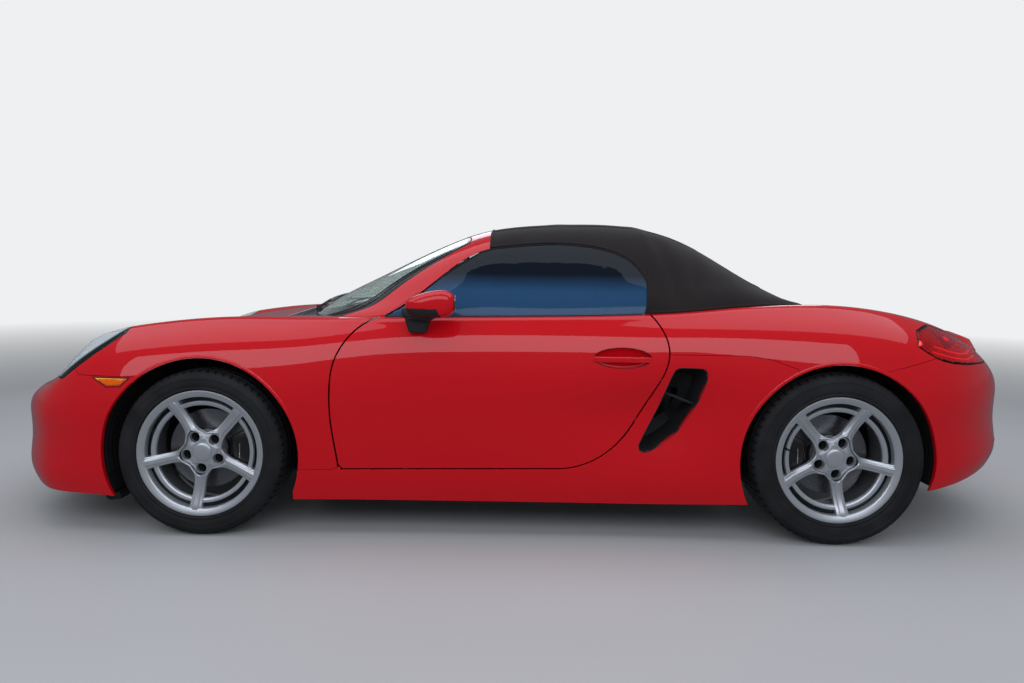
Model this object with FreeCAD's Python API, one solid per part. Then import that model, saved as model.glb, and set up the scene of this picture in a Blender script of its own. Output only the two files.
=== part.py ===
import FreeCAD, Part
import math
import os
from collections import namedtuple
from FreeCAD import Vector

# Two-seat convertible with its soft top up, in millimetres.
# The front of the car points to -X, its left side to -Y, and +Z is up.
# The origin is on the ground under the middle of the car.

os.makedirs("parts", exist_ok=True)

# Overall places
FRONT_AXLE_X = -1257.0
REAR_AXLE_X = 1218.0
FAR = 1100.0
WIDE = (-FAR, FAR)
SKY = 1400.0
SKIN_LOW = 450.0
SKIN_HIGH = 1000.0

# Painted shell
PANEL = 18.0
SEAT_GAP = 0.3
SEAM = 2.0
SEAM_HALF = SEAM / 2
LID_SEAM = 5.5
LID_HALF = LID_SEAM / 2
FLOOR_INSET = 12.0
WALL_OPEN_BELOW = 40.0

# Wheels and tyres
ARCH_R = 383.0
ARCH_DROP = 12.0
WHEEL_Y = 763.0
FRONT_TYRE_R = 325.0
REAR_TYRE_R = 337.0
FRONT_TYRE_W = 228.0
REAR_TYRE_W = 252.0
RIM_R = 246.0
BEAD_R = 235.0
BARREL_R = 214.0
FLANGE_IN = 6.0
HUB_FACE_OUT = 57.0
BORE_R = 26.0
LUG_CIRCLE_R = 65.0
LUG_HOLE_R = 13.0
LUG_HOLE_DEPTH = 22.0
SPOKES = 5
WheelRow = namedtuple("WheelRow", "axle x tyre_r width first_spoke_angle")
WHEELS = (
    WheelRow("front", FRONT_AXLE_X, FRONT_TYRE_R, FRONT_TYRE_W, 120.0),
    WheelRow("rear", REAR_AXLE_X, REAR_TYRE_R, REAR_TYRE_W, 133.0),
)
# Spoke stations from the hub to the rim: radius, half width, share of the way from the hub
# face to the rim's lip, depth of the flank, of the raised middle and of the back.
SpokeRow = namedtuple("SpokeRow", "radius half way flank middle back")
SPOKE_ROWS = (
    SpokeRow(26, 44, 0.0, -24, -30, 4),
    SpokeRow(82, 36, 0.0, -22, -32, -2),
    SpokeRow(118, 19, 0.0, -22, -33, -8),
    SpokeRow(178, 18, 0.5, -7, -16.5, 11),
    SpokeRow(229, 24, 1.0, 18, 10, 40),
)

# Brakes, knuckles and axles
DISC_R = 158.0
DISC_T = 22.0
DISC_Y = -WHEEL_Y - 2.0
CALIPER_GAP = 6.0
CALIPER_IN_R = 104.0
CALIPER_OUT_R = 190.0
BEARING = 0.4
STEER_PIN_R = 11.0
PIN_Y = WHEEL_Y - 50.0
PIN_LOW_Z = 205.0
PIN_HIGH_Z = 460.0
STRUT_R = 24.0
BEAM_LOW_Z = 235.0

# Doors
DOOR_HINGE_X = -690.0
DOOR_HINGE_Y = 850.0
DOOR_GAP = 6.5
DOOR_INNER_Y = 715.0
DOOR_SKIN_IN_Y = 745.0
DOOR_INSET = 24.0
DOOR_BELT_Z = 852.0
DOOR_BOTTOM_Z = 271.0
DOOR_CORNER_REACH = 14.0
DOOR_POCKET_GROW = 4.0
GLASS_T = 5.0
GLASS_DEPTH = 4.0
GLASS_LOW_Z = 790.0
SWING_CLEARANCE = 5.5
SWING_TOP_Z = 790.0
HANDLE_X = 374.0
HANDLE_Z = 722.0
HANDLE_HALF_LENGTH = 110.0
HANDLE_HALF_HEIGHT = 39.0
HANDLE_FLOOR_Y = -866.0
PULL_FACE_Y = -890.0

# Places where the car is lifted or towed
JACK_POINTS = ((-800.0, -690.0), (-800.0, 690.0), (740.0, -690.0), (740.0, 690.0))
JACK_PAD_R = 34.0
JACK_PAD_Z = 150.0
TOW_EYE_Y = 420.0
TOW_EYE_Z = 395.0
TOW_EYE_R = 9.0
TOW_HOLE_R = 15.0
TOW_EYE_X = -2130.0
TOW_EYE_DEPTH = 60.0

# Cabin, load spaces and mechanics: boxes are x from, x to, half width, z from (and z to)
CABIN_X0 = -800.0
CABIN_X1 = 610.0
CABIN_Y = 690.0
FLOOR_Z = 215.0
FRONT_BAY_Y = 470.0
REAR_BAY_Y = 560.0
FRONT_TRUNK = (-1800.0, -1060.0, 400.0, 340.0)
REAR_TRUNK = (1480.0, 1960.0, 430.0, 400.0)
ENGINE = (700.0, 1090.0, 330.0, 210.0, 640.0)
ENGINE_BAY_TOP = 760.0
WELL_R = 396.0
AXLE_CHANNEL_HALF = 130.0
FRONT_CHANNEL_TOP = 318.0
REAR_CHANNEL_TOP = 380.0
SILENCER = (1500.0, 1890.0, 400.0, 250.0, 365.0)
EXHAUST_Z = 300.0
PIPE_R = 52.0
PIPE_END_X = 2185.0

# Seats and steering wheel
STEER_X = -330.0
STEER_Z = 735.0
STEER_R = 175.0
STEER_TILT = math.radians(25.0)
SEAT_Y = 360.0
SEAT_HALF = 235.0

# Lower body sections from nose to tail: bottom height, half width at the floor, widest half
# width and its height, side hollow, chin bulge, fender crest, inner top and middle.
BodyRow = namedtuple("BodyRow", "x z_floor y_floor y_wide z_wide hollow chin "
                     "y_crest z_crest z_inner z_middle")
BODY = [
    (-2187, 246, 208, 222, 345, 0, 0, 150, 420, 426, 430),
    (-2180, 212, 346, 358, 400, 2, 6, 262, 448, 456, 464),
    (-2140, 186, 508, 520, 446, 4, 14, 404, 494, 502, 512),
    (-2060, 170, 638, 650, 458, 5, 15, 544, 544, 554, 566),
    (-1930, 156, 776, 790, 466, 5, 12, 655, 586, 594, 612),
    (-1840, 152, 822, 838, 480, 3, 6, 690, 666, 640, 656),
    (-1750, 152, 846, 866, 496, 0, 2, 702, 754, 694, 710),
    (-1650, 150, 858, 880, 514, 0, 0, 704, 791, 732, 746),
    (-1550, 144, 866, 888, 530, 0, 0, 703, 814, 766, 780),
    (-1257, 143, 874, 893, 560, 0, 0, 700, 850, 820, 838),
    (-950, 145, 868, 889, 585, 0, 0, 722, 852, 852, 876),
    (-700, 145, 858, 886, 600, 0, 0, 772, 856, 862, 892),
    (-450, 145, 856, 886, 610, 0, 0, 796, 862, 866, 894),
    (-150, 145, 856, 887, 618, 3, 0, 802, 868, 870, 890),
    (150, 145, 857, 889, 628, 12, 0, 802, 875, 874, 888),
    (350, 145, 860, 891, 640, 26, 2, 798, 881, 878, 888),
    (500, 146, 864, 894, 655, 42, 4, 793, 888, 883, 889),
    (620, 148, 868, 896, 664, 40, 4, 784, 896, 889, 891),
    (720, 150, 872, 898, 664, 16, 2, 772, 905, 894, 894),
    (900, 154, 878, 900, 655, 0, 0, 740, 922, 904, 900),
    (1218, 162, 884, 902, 620, 0, 0, 700, 935, 912, 908),
    (1480, 198, 880, 894, 606, 0, 2, 690, 906, 902, 900),
    (1700, 232, 834, 844, 596, 0, 8, 640, 852, 868, 872),
    (1890, 262, 708, 718, 592, 3, 18, 556, 778, 808, 826),
    (2020, 276, 566, 576, 588, 4, 22, 448, 690, 768, 802),
    (2105, 282, 428, 438, 570, 4, 20, 330, 632, 690, 712),
    (2160, 292, 290, 300, 540, 2, 10, 215, 572, 598, 610),
    (2187, 312, 130, 140, 440, 0, 0, 90, 510, 520, 526),
]

# Greenhouse sections: points from the belt over the side window to the roof's middle
CabinRow = namedtuple("CabinRow", "x y_belt z_belt y_side z_side y_rail z_rail "
                      "y_roof z_roof z_middle")
GREENHOUSE = [
    (-985, 590, 800, 440, 826, 330, 838, 180, 850, 856),
    (-900, 660, 828, 560, 850, 430, 876, 250, 902, 912),
    (-784, 722, 840, 650, 872, 560, 918, 340, 958, 976),
    (-640, 760, 850, 692, 900, 612, 968, 355, 1028, 1048),
    (-500, 782, 858, 716, 935, 616, 1046, 355, 1098, 1118),
    (-330, 790, 863, 700, 1010, 616, 1118, 350, 1178, 1196),
    (-176, 792, 867, 694, 1050, 604, 1176, 345, 1230, 1246),
    (0, 794, 871, 700, 1040, 600, 1198, 345, 1258, 1271),
    (250, 794, 877, 702, 1040, 598, 1206, 345, 1270, 1284),
    (480, 788, 886, 702, 1040, 590, 1196, 340, 1262, 1279),
    (680, 772, 898, 688, 1020, 570, 1146, 330, 1212, 1232),
    (850, 748, 912, 656, 1000, 526, 1070, 300, 1132, 1154),
    (1000, 712, 920, 600, 972, 460, 1008, 260, 1052, 1068),
    (1130, 668, 916, 540, 940, 396, 962, 225, 988, 998),
    (1240, 616, 896, 470, 908, 336, 924, 190, 936, 942),
    (1330, 560, 864, 410, 872, 290, 878, 160, 884, 888),
]
SKIRT_Z = 700.0

# Door outline in the side view, from the belt down the front seam and round to the belt
DOOR_FRONT_SEAM = [(-578, 862), (-657, 817), (-711, 751), (-740, 685), (-752, 582),
                   (-748, 456), (-735, 367), (-722, 290)]
DOOR_REAR_SEAM = [(150, 284), (238, 304), (324, 352), (391, 418), (438, 488), (499, 595),
                  (537, 671), (552, 747), (521, 846), (492, 884)]

# Side window outline in the side view, front to rear
WINDOW_TOP = [(-560, 862), (-330, 1030), (-175, 1128), (-60, 1150), (120, 1164), (290, 1150),
              (412, 1108), (478, 1036), (492, 960), (470, 884)]
WINDOW_GAP = 7.0

# Air intake behind the door, in the side view
INTAKE = [(600, 688), (680, 686), (694, 676), (698, 648), (667, 548), (597, 435), (500, 362),
          (470, 352), (450, 360), (447, 380), (462, 412), (519, 527), (561, 649), (578, 682)]

# Head lamp seen from above, and its lower edge in the side view
LAMP_PLAN = [(-1935, 590), (-1925, 660), (-1890, 740), (-1822, 816), (-1780, 840), (-1600, 790),
             (-1585, 700), (-1640, 640), (-1740, 588), (-1850, 560), (-1915, 562)]
LAMP_LOW = [(-2030, 560), (-1814, 604), (-1762, 645), (-1709, 686), (-1643, 738), (-1588, 787),
            (-1555, 806)]
LAMP_LENS_SEAM = 2.0
LAMP_SEAT = 12.0

# Rear lamp in the side view and seen from above
TAIL_LAMP = [(1511, 796), (1513, 815), (1538, 833), (1586, 848), (1640, 860), (1850, 880),
             (2060, 880), (2060, 704), (1900, 702), (1761, 704), (1685, 711), (1635, 721),
             (1598, 734), (1556, 759), (1523, 782)]
TAIL_LAMP_PLAN = [(1480, 960), (1560, 760), (1640, 700), (1750, 662), (1870, 606), (1975, 520),
                  (2000, 470), (2100, 470), (2100, 960)]

# Front lid and rear lid seen from above, right half, front to rear
FRONT_LID = [(-1952, 0), (-1940, 300), (-1905, 505), (-1750, 560), (-1500, 600), (-1250, 618),
             (-1040, 628), (-1010, 600), (-1010, 0)]
REAR_LID = [(1352, 0), (1352, 500), (1380, 535), (1600, 530), (1800, 495), (1930, 440),
            (1968, 360), (1985, 0)]

# Where the painted skin is split: bumpers and side panel in the side view, cowl and deck from above
FRONT_BUMPER_SIDE = [(-2400, 50), (-2400, 900), (-1952, 900), (-1952, 650), (-1768, 646),
                     (-1736, 622), (-1500, 620), (-1500, 50)]
REAR_BUMPER_SIDE = [(1390, 50), (1390, 684), (1598, 734), (1700, 760), (1990, 760), (1990, 900),
                    (2400, 900), (2400, 50)]
SIDE_PANEL_SIDE = [(-900, 100), (-900, 267), (-745, 268), (-700, 290), (140, 300), (140, 738),
                   (860, 738), (945, 724), (1045, 689), (1045, 100)]
COWL_PLAN = [(-1008, 0), (-1008, 628), (-800, 655), (-800, 0)]
DECK_PLAN = [(612, 0), (612, 560), (700, 600), (1150, 590), (1349, 540), (1349, 0)]
FENDER_X = (-1955.0, -560.0)
QUARTER_X = (430.0, 2100.0)
QUARTER_LOW_Z = 600.0

# Windscreen, its frame, the soft top and its rear window
FRAME_DEPTH = 26.0
SCREEN_DEPTH = 1.5
SCREEN_PLAN = [(-975, 0), (-975, 560), (-900, 655), (-790, 690), (-640, 692), (-500, 652),
               (-330, 598), (-236, 552), (-262, 300), (-272, 0)]
FRAME_SIDE = [(-1000, 700), (-1000, 1300), (-150, 1300), (-150, 1125), (-300, 1000), (-540, 866),
              (-560, 700)]
TOP_SIDE = [(-147, 1300), (-147, 1130), (-100, 1100), (-100, 700), (1400, 700), (1400, 1300)]
REAR_GLASS_PLAN = [(760, 0), (768, 330), (800, 372), (1030, 392), (1068, 360), (1084, 0)]

# Mirror housing rings from the door outward: y, x from and to, z from and to
MirrorRing = namedtuple("MirrorRing", "y x0 x1 z0 z1")
MIRROR_RINGS = (
    MirrorRing(-838, -396, -330, 884, 938),
    MirrorRing(-868, -438, -286, 872, 970),
    MirrorRing(-932, -457, -264, 866, 981),
    MirrorRing(-974, -432, -280, 880, 970),
    MirrorRing(-987, -400, -310, 898, 950),
)
MIRROR_ARM = [(-478, 850), (-345, 850), (-338, 905), (-372, 915), (-458, 880)]

# Tail blade sections from the middle outward: y, front height, shoulder and lip places
BladeRow = namedtuple("BladeRow", "y z_front x_shoulder z_shoulder x_lip z_lip")
BLADE_X = 1992.0
BLADE_LOW_Z = 660.0
BLADE_ROWS = (
    BladeRow(430, 738, 2012, 742, 2030, 728),
    BladeRow(330, 786, 2032, 785, 2070, 764),
    BladeRow(200, 803, 2050, 799, 2092, 774),
    BladeRow(0, 809, 2056, 804, 2101, 776),
)


def third_mean(before, here, after):
    return before * (1 / 6) + here * (4 / 6) + after * (1 / 6)


def section_points(row):
    """Half section of the lower body, from the floor edge to the middle of the top."""
    r = BodyRow(*row)
    rise = r.z_wide - r.z_floor
    flare = r.y_wide - r.y_floor
    shoulder = r.z_crest - r.z_wide
    lean = r.y_wide - r.y_crest
    return [
        Vector(r.x, r.y_floor - 14, r.z_floor),
        Vector(r.x, r.y_floor + 0.10 * flare + r.chin, r.z_floor + 0.20 * rise),
        Vector(r.x, r.y_floor + 0.45 * flare - 0.6 * r.hollow, r.z_floor + 0.50 * rise),
        Vector(r.x, r.y_floor + 0.80 * flare - r.hollow, r.z_floor + 0.76 * rise),
        Vector(r.x, r.y_wide, r.z_wide),
        Vector(r.x, r.y_wide - 0.20 * lean, r.z_wide + 0.60 * shoulder),
        Vector(r.x, r.y_crest + 0.30 * lean, r.z_wide + 0.90 * shoulder),
        Vector(r.x, r.y_crest, r.z_crest),
        Vector(r.x, 0.78 * r.y_crest, r.z_inner),
        Vector(r.x, 0.42 * r.y_crest, 0.4 * r.z_inner + 0.6 * r.z_middle),
        Vector(r.x, 0, r.z_middle),
    ]


def greenhouse_points(row):
    """Half section of the cabin's upper part, from under the belt to the roof's middle."""
    r = CabinRow(*row)
    return [
        Vector(r.x, r.y_belt + 6, SKIRT_Z),
        Vector(r.x, r.y_belt, r.z_belt),
        Vector(r.x, r.y_side, r.z_side),
        Vector(r.x, r.y_rail, r.z_rail),
        Vector(r.x, r.y_roof, r.z_roof),
        Vector(r.x, 0, r.z_middle),
    ]


def full_section(half):
    left = [Vector(p.x, -p.y, p.z) for p in half]
    return left + list(reversed(half[:-1]))


def moved_in(grid, depth):
    """Each point of the grid moved inward along the surface's normal."""
    rows = []
    last_row = len(grid) - 1
    last_point = len(grid[0]) - 1
    for i, row in enumerate(grid):
        new_row = []
        for j, point in enumerate(row):
            along = grid[min(i + 1, last_row)][j] - grid[max(i - 1, 0)][j]
            around = row[min(j + 1, last_point)] - row[max(j - 1, 0)]
            normal = along.cross(around)
            normal.normalize()
            new_row.append(point - normal * depth)
        rows.append(new_row)
    for row, x in ((rows[0], grid[0][0].x + depth), (rows[-1], grid[-1][0].x - depth)):
        for point in row:
            point.x = x
    return rows


def sharpened(grid):
    """Poles whose smooth surface passes very close to the given points."""
    def smooth_rows(points):
        inner = [[third_mean(a, b, c) for a, b, c in zip(points[i - 1], points[i], points[i + 1])]
                 for i in range(1, len(points) - 1)]
        return [points[0]] + inner + [points[-1]]

    def turned(points):
        return [list(column) for column in zip(*points)]

    smooth = turned(smooth_rows(turned(smooth_rows(grid))))
    return [[p * 2 - q for p, q in zip(row, smooth_row)] for row, smooth_row in zip(grid, smooth)]


def smooth_surface(points):
    """Uniform bicubic surface that ends on its outer rows and columns."""
    def extended(items, reflect):
        return [reflect(items[0], items[1])] + items + [reflect(items[-1], items[-2])]

    def reflect_row(edge, inner):
        return [a * 2 - b for a, b in zip(edge, inner)]

    def reflect_point(edge, inner):
        return edge * 2 - inner

    rows = extended(points, reflect_row)
    poles = [extended(row, reflect_point) for row in rows]
    count_u = len(poles)
    count_v = len(poles[0])
    surface = Part.BSplineSurface()
    surface.buildFromPolesMultsKnots(
        poles, [1] * (count_u + 4), [1] * (count_v + 4),
        [float(k) for k in range(count_u + 4)], [float(k) for k in range(count_v + 4)],
        False, False, 3, 3)
    surface.segment(3.0, float(count_u), 3.0, float(count_v))
    return surface


def closed_solid(surface):
    """Solid under a surface: flat ends and a ruled floor between its two lower edges."""
    u0, u1, v0, v1 = surface.bounds()
    ends = [surface.uIso(u).toShape() for u in (u0, u1)]
    edges = [surface.vIso(v).toShape() for v in (v0, v1)]
    faces = [surface.toShape()]
    for edge in ends:
        first, last = edge.Vertexes[0].Point, edge.Vertexes[-1].Point
        faces.append(Part.Face(Part.Wire([edge, Part.makeLine(last, first)])))
    faces.append(Part.makeRuledSurface(edges[0], edges[1]))
    shell = Part.makeShell(faces)
    shell.sewShape(0.01)
    solid = Part.makeSolid(shell)
    if solid.Volume < 0:
        solid.reverse()
    return solid


def body_solid(depth=0.0, floor_up=0.0):
    grid = [full_section(section_points(row)) for row in BODY]
    if depth:
        grid = moved_in(grid, depth)
        for row, source in zip(grid, BODY):
            for point in (row[0], row[-1]):
                point.z = source[1] + floor_up
    return closed_solid(smooth_surface(sharpened(grid)))


def greenhouse_solid(depth=0.0):
    grid = [full_section(greenhouse_points(row)) for row in GREENHOUSE]
    if depth:
        grid = moved_in(grid, depth)
        for row in grid:
            for point in (row[0], row[-1]):
                point.z = SKIRT_Z
    return closed_solid(smooth_surface(sharpened(grid)))


def box(x0, x1, y0, y1, z0, z1):
    return Part.makeBox(x1 - x0, y1 - y0, z1 - z0, Vector(x0, y0, z0))


def cylinder_x(radius, y, z, x0, x1):
    return Part.makeCylinder(radius, x1 - x0, Vector(x0, y, z), Vector(1, 0, 0))


def cylinder_y(radius, x, z, y0, y1):
    return Part.makeCylinder(radius, y1 - y0, Vector(x, y0, z), Vector(0, 1, 0))


def cylinder_z(radius, x, y, z0, z1):
    return Part.makeCylinder(radius, z1 - z0, Vector(x, y, z0), Vector(0, 0, 1))


def rod(a, b, radius):
    a, b = Vector(*a), Vector(*b)
    return Part.makeCylinder(radius, (b - a).Length, a, b - a)


def curve(points):
    spline = Part.BSplineCurve()
    spline.interpolate([Vector(*p) for p in points])
    return spline.toShape()


def wire_prism(edges, direction):
    return Part.Face(Part.Wire(edges)).extrude(direction)


def outline_yz(points, x0, x1):
    """Prism along the car from a front view outline."""
    corners = [Vector(x0, y, z) for y, z in points]
    return Part.Face(Part.makePolygon(corners + corners[:1])).extrude(Vector(x1 - x0, 0, 0))


def side_outline(points, y0, y1, grow=0.0):
    """Prism across the car from a side view outline, moved outward by grow in its own plane."""
    wire = Part.makePolygon([Vector(x, y0, z) for x, z in points + points[:1]])
    if grow:
        wire = wire.makeOffset2D(grow, 2)
    return Part.Face(wire).extrude(Vector(0, y1 - y0, 0))


def plan_outline(points, z0, z1, grow=0.0):
    """Upright prism from an outline seen from above, moved outward by grow."""
    wire = Part.makePolygon([Vector(x, y, z0) for x, y in points + points[:1]])
    if grow:
        wire = wire.makeOffset2D(grow, 2)
    return Part.Face(wire).extrude(Vector(0, 0, z1 - z0))


def both_sides(half):
    """Closed plan outline from its right half, which runs from the middle to the middle."""
    return half + [(x, -y) for x, y in reversed(half) if y > 0]


def left_plan(points):
    """Outline seen from above, given for the right side, turned over to the left one."""
    return [(x, -y) for x, y in points]


def mirrored(shape):
    return shape.mirror(Vector(0, 0, 0), Vector(0, 1, 0))


def joined(shapes):
    result = shapes[0]
    if len(shapes) > 1:
        result = result.fuse(shapes[1:])
    return result.removeSplitter()


def largest(shape):
    return max(shape.Solids, key=lambda solid: solid.Volume)


def save(name, shape):
    solids = [s for s in shape.Solids if s.Volume > 50]
    result = solids[0] if len(solids) == 1 else Part.makeCompound(solids)
    result.exportStep("parts/" + name + ".step")
    bounds = result.BoundBox
    print("%-18s solids %d valid %s  x %.0f %.0f  y %.0f %.0f  z %.0f %.0f" % (
        name, len(solids), result.isValid(), bounds.XMin, bounds.XMax, bounds.YMin,
        bounds.YMax, bounds.ZMin, bounds.ZMax))


def save_pair(name, left_shape):
    save(name + "_left", left_shape)
    save(name + "_right", mirrored(left_shape))


def shifted(points, amount):
    """Side view points moved sideways by amount, to the left of their run."""
    result = []
    for i, (x, z) in enumerate(points):
        x0, z0 = points[max(i - 1, 0)]
        x1, z1 = points[min(i + 1, len(points) - 1)]
        length = math.hypot(x1 - x0, z1 - z0)
        result.append((x - (z1 - z0) / length * amount, z + (x1 - x0) / length * amount))
    return result


def door_prism(grow, y0, y1, top_z=960.0):
    """Door outline with its seams moved out by grow, as a prism across the car."""
    front = shifted(DOOR_FRONT_SEAM, -grow)
    rear = shifted(DOOR_REAR_SEAM, -grow)
    corner = (front[-1][0] + DOOR_CORNER_REACH, DOOR_BOTTOM_Z - grow)

    def at(point):
        return Vector(point[0], y0, point[1])

    rear_top = (rear[-1][0], top_z)
    front_top = (front[0][0], top_z)
    edges = [
        curve([at(p) for p in front]),
        Part.makeLine(at(front[-1]), at(corner)),
        Part.makeLine(at(corner), at(rear[0])),
        curve([at(p) for p in rear]),
        Part.makeLine(at(rear[-1]), at(rear_top)),
        Part.makeLine(at(rear_top), at(front_top)),
        Part.makeLine(at(front_top), at(front[0])),
    ]
    return wire_prism(edges, Vector(0, y1 - y0, 0))


def window_prism(grow, y0, y1, bottom_z):
    """Side window outline, its curve moved out by grow, open down to bottom_z."""
    top = shifted(WINDOW_TOP, grow)

    def at(point):
        return Vector(point[0], y0, point[1])

    front_low = (top[0][0], bottom_z)
    rear_low = (top[-1][0], bottom_z)
    edges = [
        curve([at(p) for p in top]),
        Part.makeLine(at(top[-1]), at(rear_low)),
        Part.makeLine(at(rear_low), at(front_low)),
        Part.makeLine(at(front_low), at(top[0])),
    ]
    return wire_prism(edges, Vector(0, y1 - y0, 0))


# Shared solids
OUTER = body_solid()
WALL = OUTER.cut(body_solid(PANEL, -WALL_OPEN_BELOW))
SEAT_SKIN = body_solid(-SEAT_GAP)
TOP_SKIN = greenhouse_solid()
ARCHES = joined([cylinder_y(ARCH_R, wheel.x, wheel.tyre_r - ARCH_DROP, y0, y0 + 400)
                 for wheel in WHEELS for y0 in (-1000, 600)])


def lamp_prism(grow):
    plan = plan_outline(left_plan(LAMP_PLAN), SKIN_LOW, SKIN_HIGH, grow)
    low = [(x, z - grow) for x, z in LAMP_LOW]
    above = side_outline(low + [(LAMP_LOW[-1][0], SKIN_HIGH), (LAMP_LOW[0][0], SKIN_HIGH)], -FAR, 0)
    return plan.common(above)


def tail_lamp_prism(grow):
    side = side_outline(TAIL_LAMP, -FAR, 0, grow)
    return side.common(plan_outline(left_plan(TAIL_LAMP_PLAN), SKIN_LOW, SKIN_HIGH, grow))


def intake_prism(grow, y0, y1):
    return side_outline(INTAKE, y0, y1, grow)


def lid_prism(half_plan, grow):
    return plan_outline(both_sides(half_plan), SKIN_LOW, SKIN_HIGH, grow)


def front_openings():
    """Lower air intakes in the front bumper and the hole for the towing eye."""
    middle = outline_yz([(-330, 258), (-300, 330), (300, 330), (330, 258)], -2300, -2000)
    side = outline_yz([(-545, 252), (-520, 352), (-400, 344), (-388, 246)], -2300, -1950)
    tow_eye = cylinder_x(TOW_HOLE_R, TOW_EYE_Y, TOW_EYE_Z, -2300, TOW_EYE_X)
    return [middle, side, mirrored(side), tow_eye]


def make_panels():
    """Painted skin, split where the real panels meet. Returns both bumpers."""
    front_lid_hole = lid_prism(FRONT_LID, LID_HALF)
    rear_lid_hole = lid_prism(REAR_LID, LID_HALF)
    front_bumper_hole = side_outline(FRONT_BUMPER_SIDE, *WIDE, SEAM_HALF)
    rear_bumper_hole = side_outline(REAR_BUMPER_SIDE, *WIDE, SEAM_HALF)
    lamp_hole = lamp_prism(LAMP_LENS_SEAM)
    lamp_holes = joined([lamp_hole, mirrored(lamp_hole)])
    tail_hole = tail_lamp_prism(SEAM_HALF)
    tail_holes = joined([tail_hole, mirrored(tail_hole)])

    save("front_lid", WALL.common(lid_prism(FRONT_LID, -LID_HALF)))
    save("rear_lid", WALL.common(lid_prism(REAR_LID, -LID_HALF)))

    front_bumper = WALL.common(side_outline(FRONT_BUMPER_SIDE, *WIDE, -SEAM_HALF))
    front_bumper = front_bumper.cut([ARCHES, front_lid_hole, lamp_holes] + front_openings())
    front_bumper = largest(front_bumper)
    save("front_bumper", front_bumper)

    pipe_exit = cylinder_x(PIPE_R + 10, 0, EXHAUST_Z, 1900, 2300)
    rear_bumper = WALL.common(side_outline(REAR_BUMPER_SIDE, *WIDE, -SEAM_HALF))
    rear_bumper = largest(rear_bumper.cut([ARCHES, rear_lid_hole, tail_holes, pipe_exit]))
    save("rear_bumper", rear_bumper)

    cowl = WALL.common(lid_prism(COWL_PLAN, -SEAM_HALF))
    save("cowl", cowl.cut(greenhouse_solid(-SEAT_GAP)))
    save("deck", WALL.common(lid_prism(DECK_PLAN, -SEAM_HALF)))

    left_wall = WALL.common(box(-2400, 2400, -FAR, 0, 0, SKY))
    door_hole = door_prism(DOOR_GAP / 2, -FAR, 0)
    open_top = box(CABIN_X0, CABIN_X1, -CABIN_Y - 12, FAR, 500, SKIN_HIGH)
    sill_hole = side_outline(SIDE_PANEL_SIDE, -FAR, FAR, SEAM_HALF)
    fender = left_wall.common(box(*FENDER_X, -FAR, 0, 100, SKIN_HIGH))
    fender = fender.cut([ARCHES, front_bumper_hole, front_lid_hole, lamp_holes, door_hole,
                         lid_prism(COWL_PLAN, SEAM_HALF), open_top, sill_hole,
                         hinge_sweep(SWING_CLEARANCE)])
    save_pair("fender", largest(fender))

    quarter = left_wall.common(box(*QUARTER_X, -FAR, 0, QUARTER_LOW_Z, SKIN_HIGH))
    quarter = quarter.cut([ARCHES, rear_bumper_hole, rear_lid_hole, tail_holes, door_hole,
                           lid_prism(DECK_PLAN, SEAM_HALF), open_top, sill_hole])
    save_pair("quarter", largest(quarter))

    side_panel = left_wall.common(side_outline(SIDE_PANEL_SIDE, -FAR, FAR, -SEAM_HALF))
    side_panel = side_panel.cut([ARCHES, door_hole, intake_prism(0, -FAR, -600)])
    save_pair("side_panel", largest(side_panel))

    save_pair("headlamp", largest(left_wall.common(lamp_prism(0))))
    tail_lamp = left_wall.common(tail_lamp_prism(-SEAM_HALF))
    save_pair("tail_lamp", largest(tail_lamp.cut(rear_lid_hole)))
    return [front_bumper, rear_bumper]


def skin_y(x, z):
    """Half width of the painted skin at a place in the side view."""
    line = Part.makeLine(Vector(x, 0, z), Vector(x, FAR, z))
    return OUTER.common(line).BoundBox.YMax


def hinge_sweep(clearance):
    """Room for the door's front edge, which swings in under the fender."""
    profile = []
    for x, z in DOOR_FRONT_SEAM:
        edge_x = x + DOOR_GAP / 2
        if edge_x > DOOR_HINGE_X:
            continue
        radius = math.hypot(DOOR_HINGE_X - edge_x, skin_y(edge_x, z) - DOOR_HINGE_Y)
        profile.append((radius + clearance, z))
    low = (profile[-1][0], DOOR_BOTTOM_Z - DOOR_GAP / 2)
    profile = [(0, SWING_TOP_Z)] + profile + [low, (0, low[1])]
    corners = [Vector(DOOR_HINGE_X + radius, -DOOR_HINGE_Y, z) for radius, z in profile]
    face = Part.Face(Part.makePolygon(corners + corners[:1]))
    return face.revolve(Vector(DOOR_HINGE_X, -DOOR_HINGE_Y, 0), Vector(0, 0, 1), 360)


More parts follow.
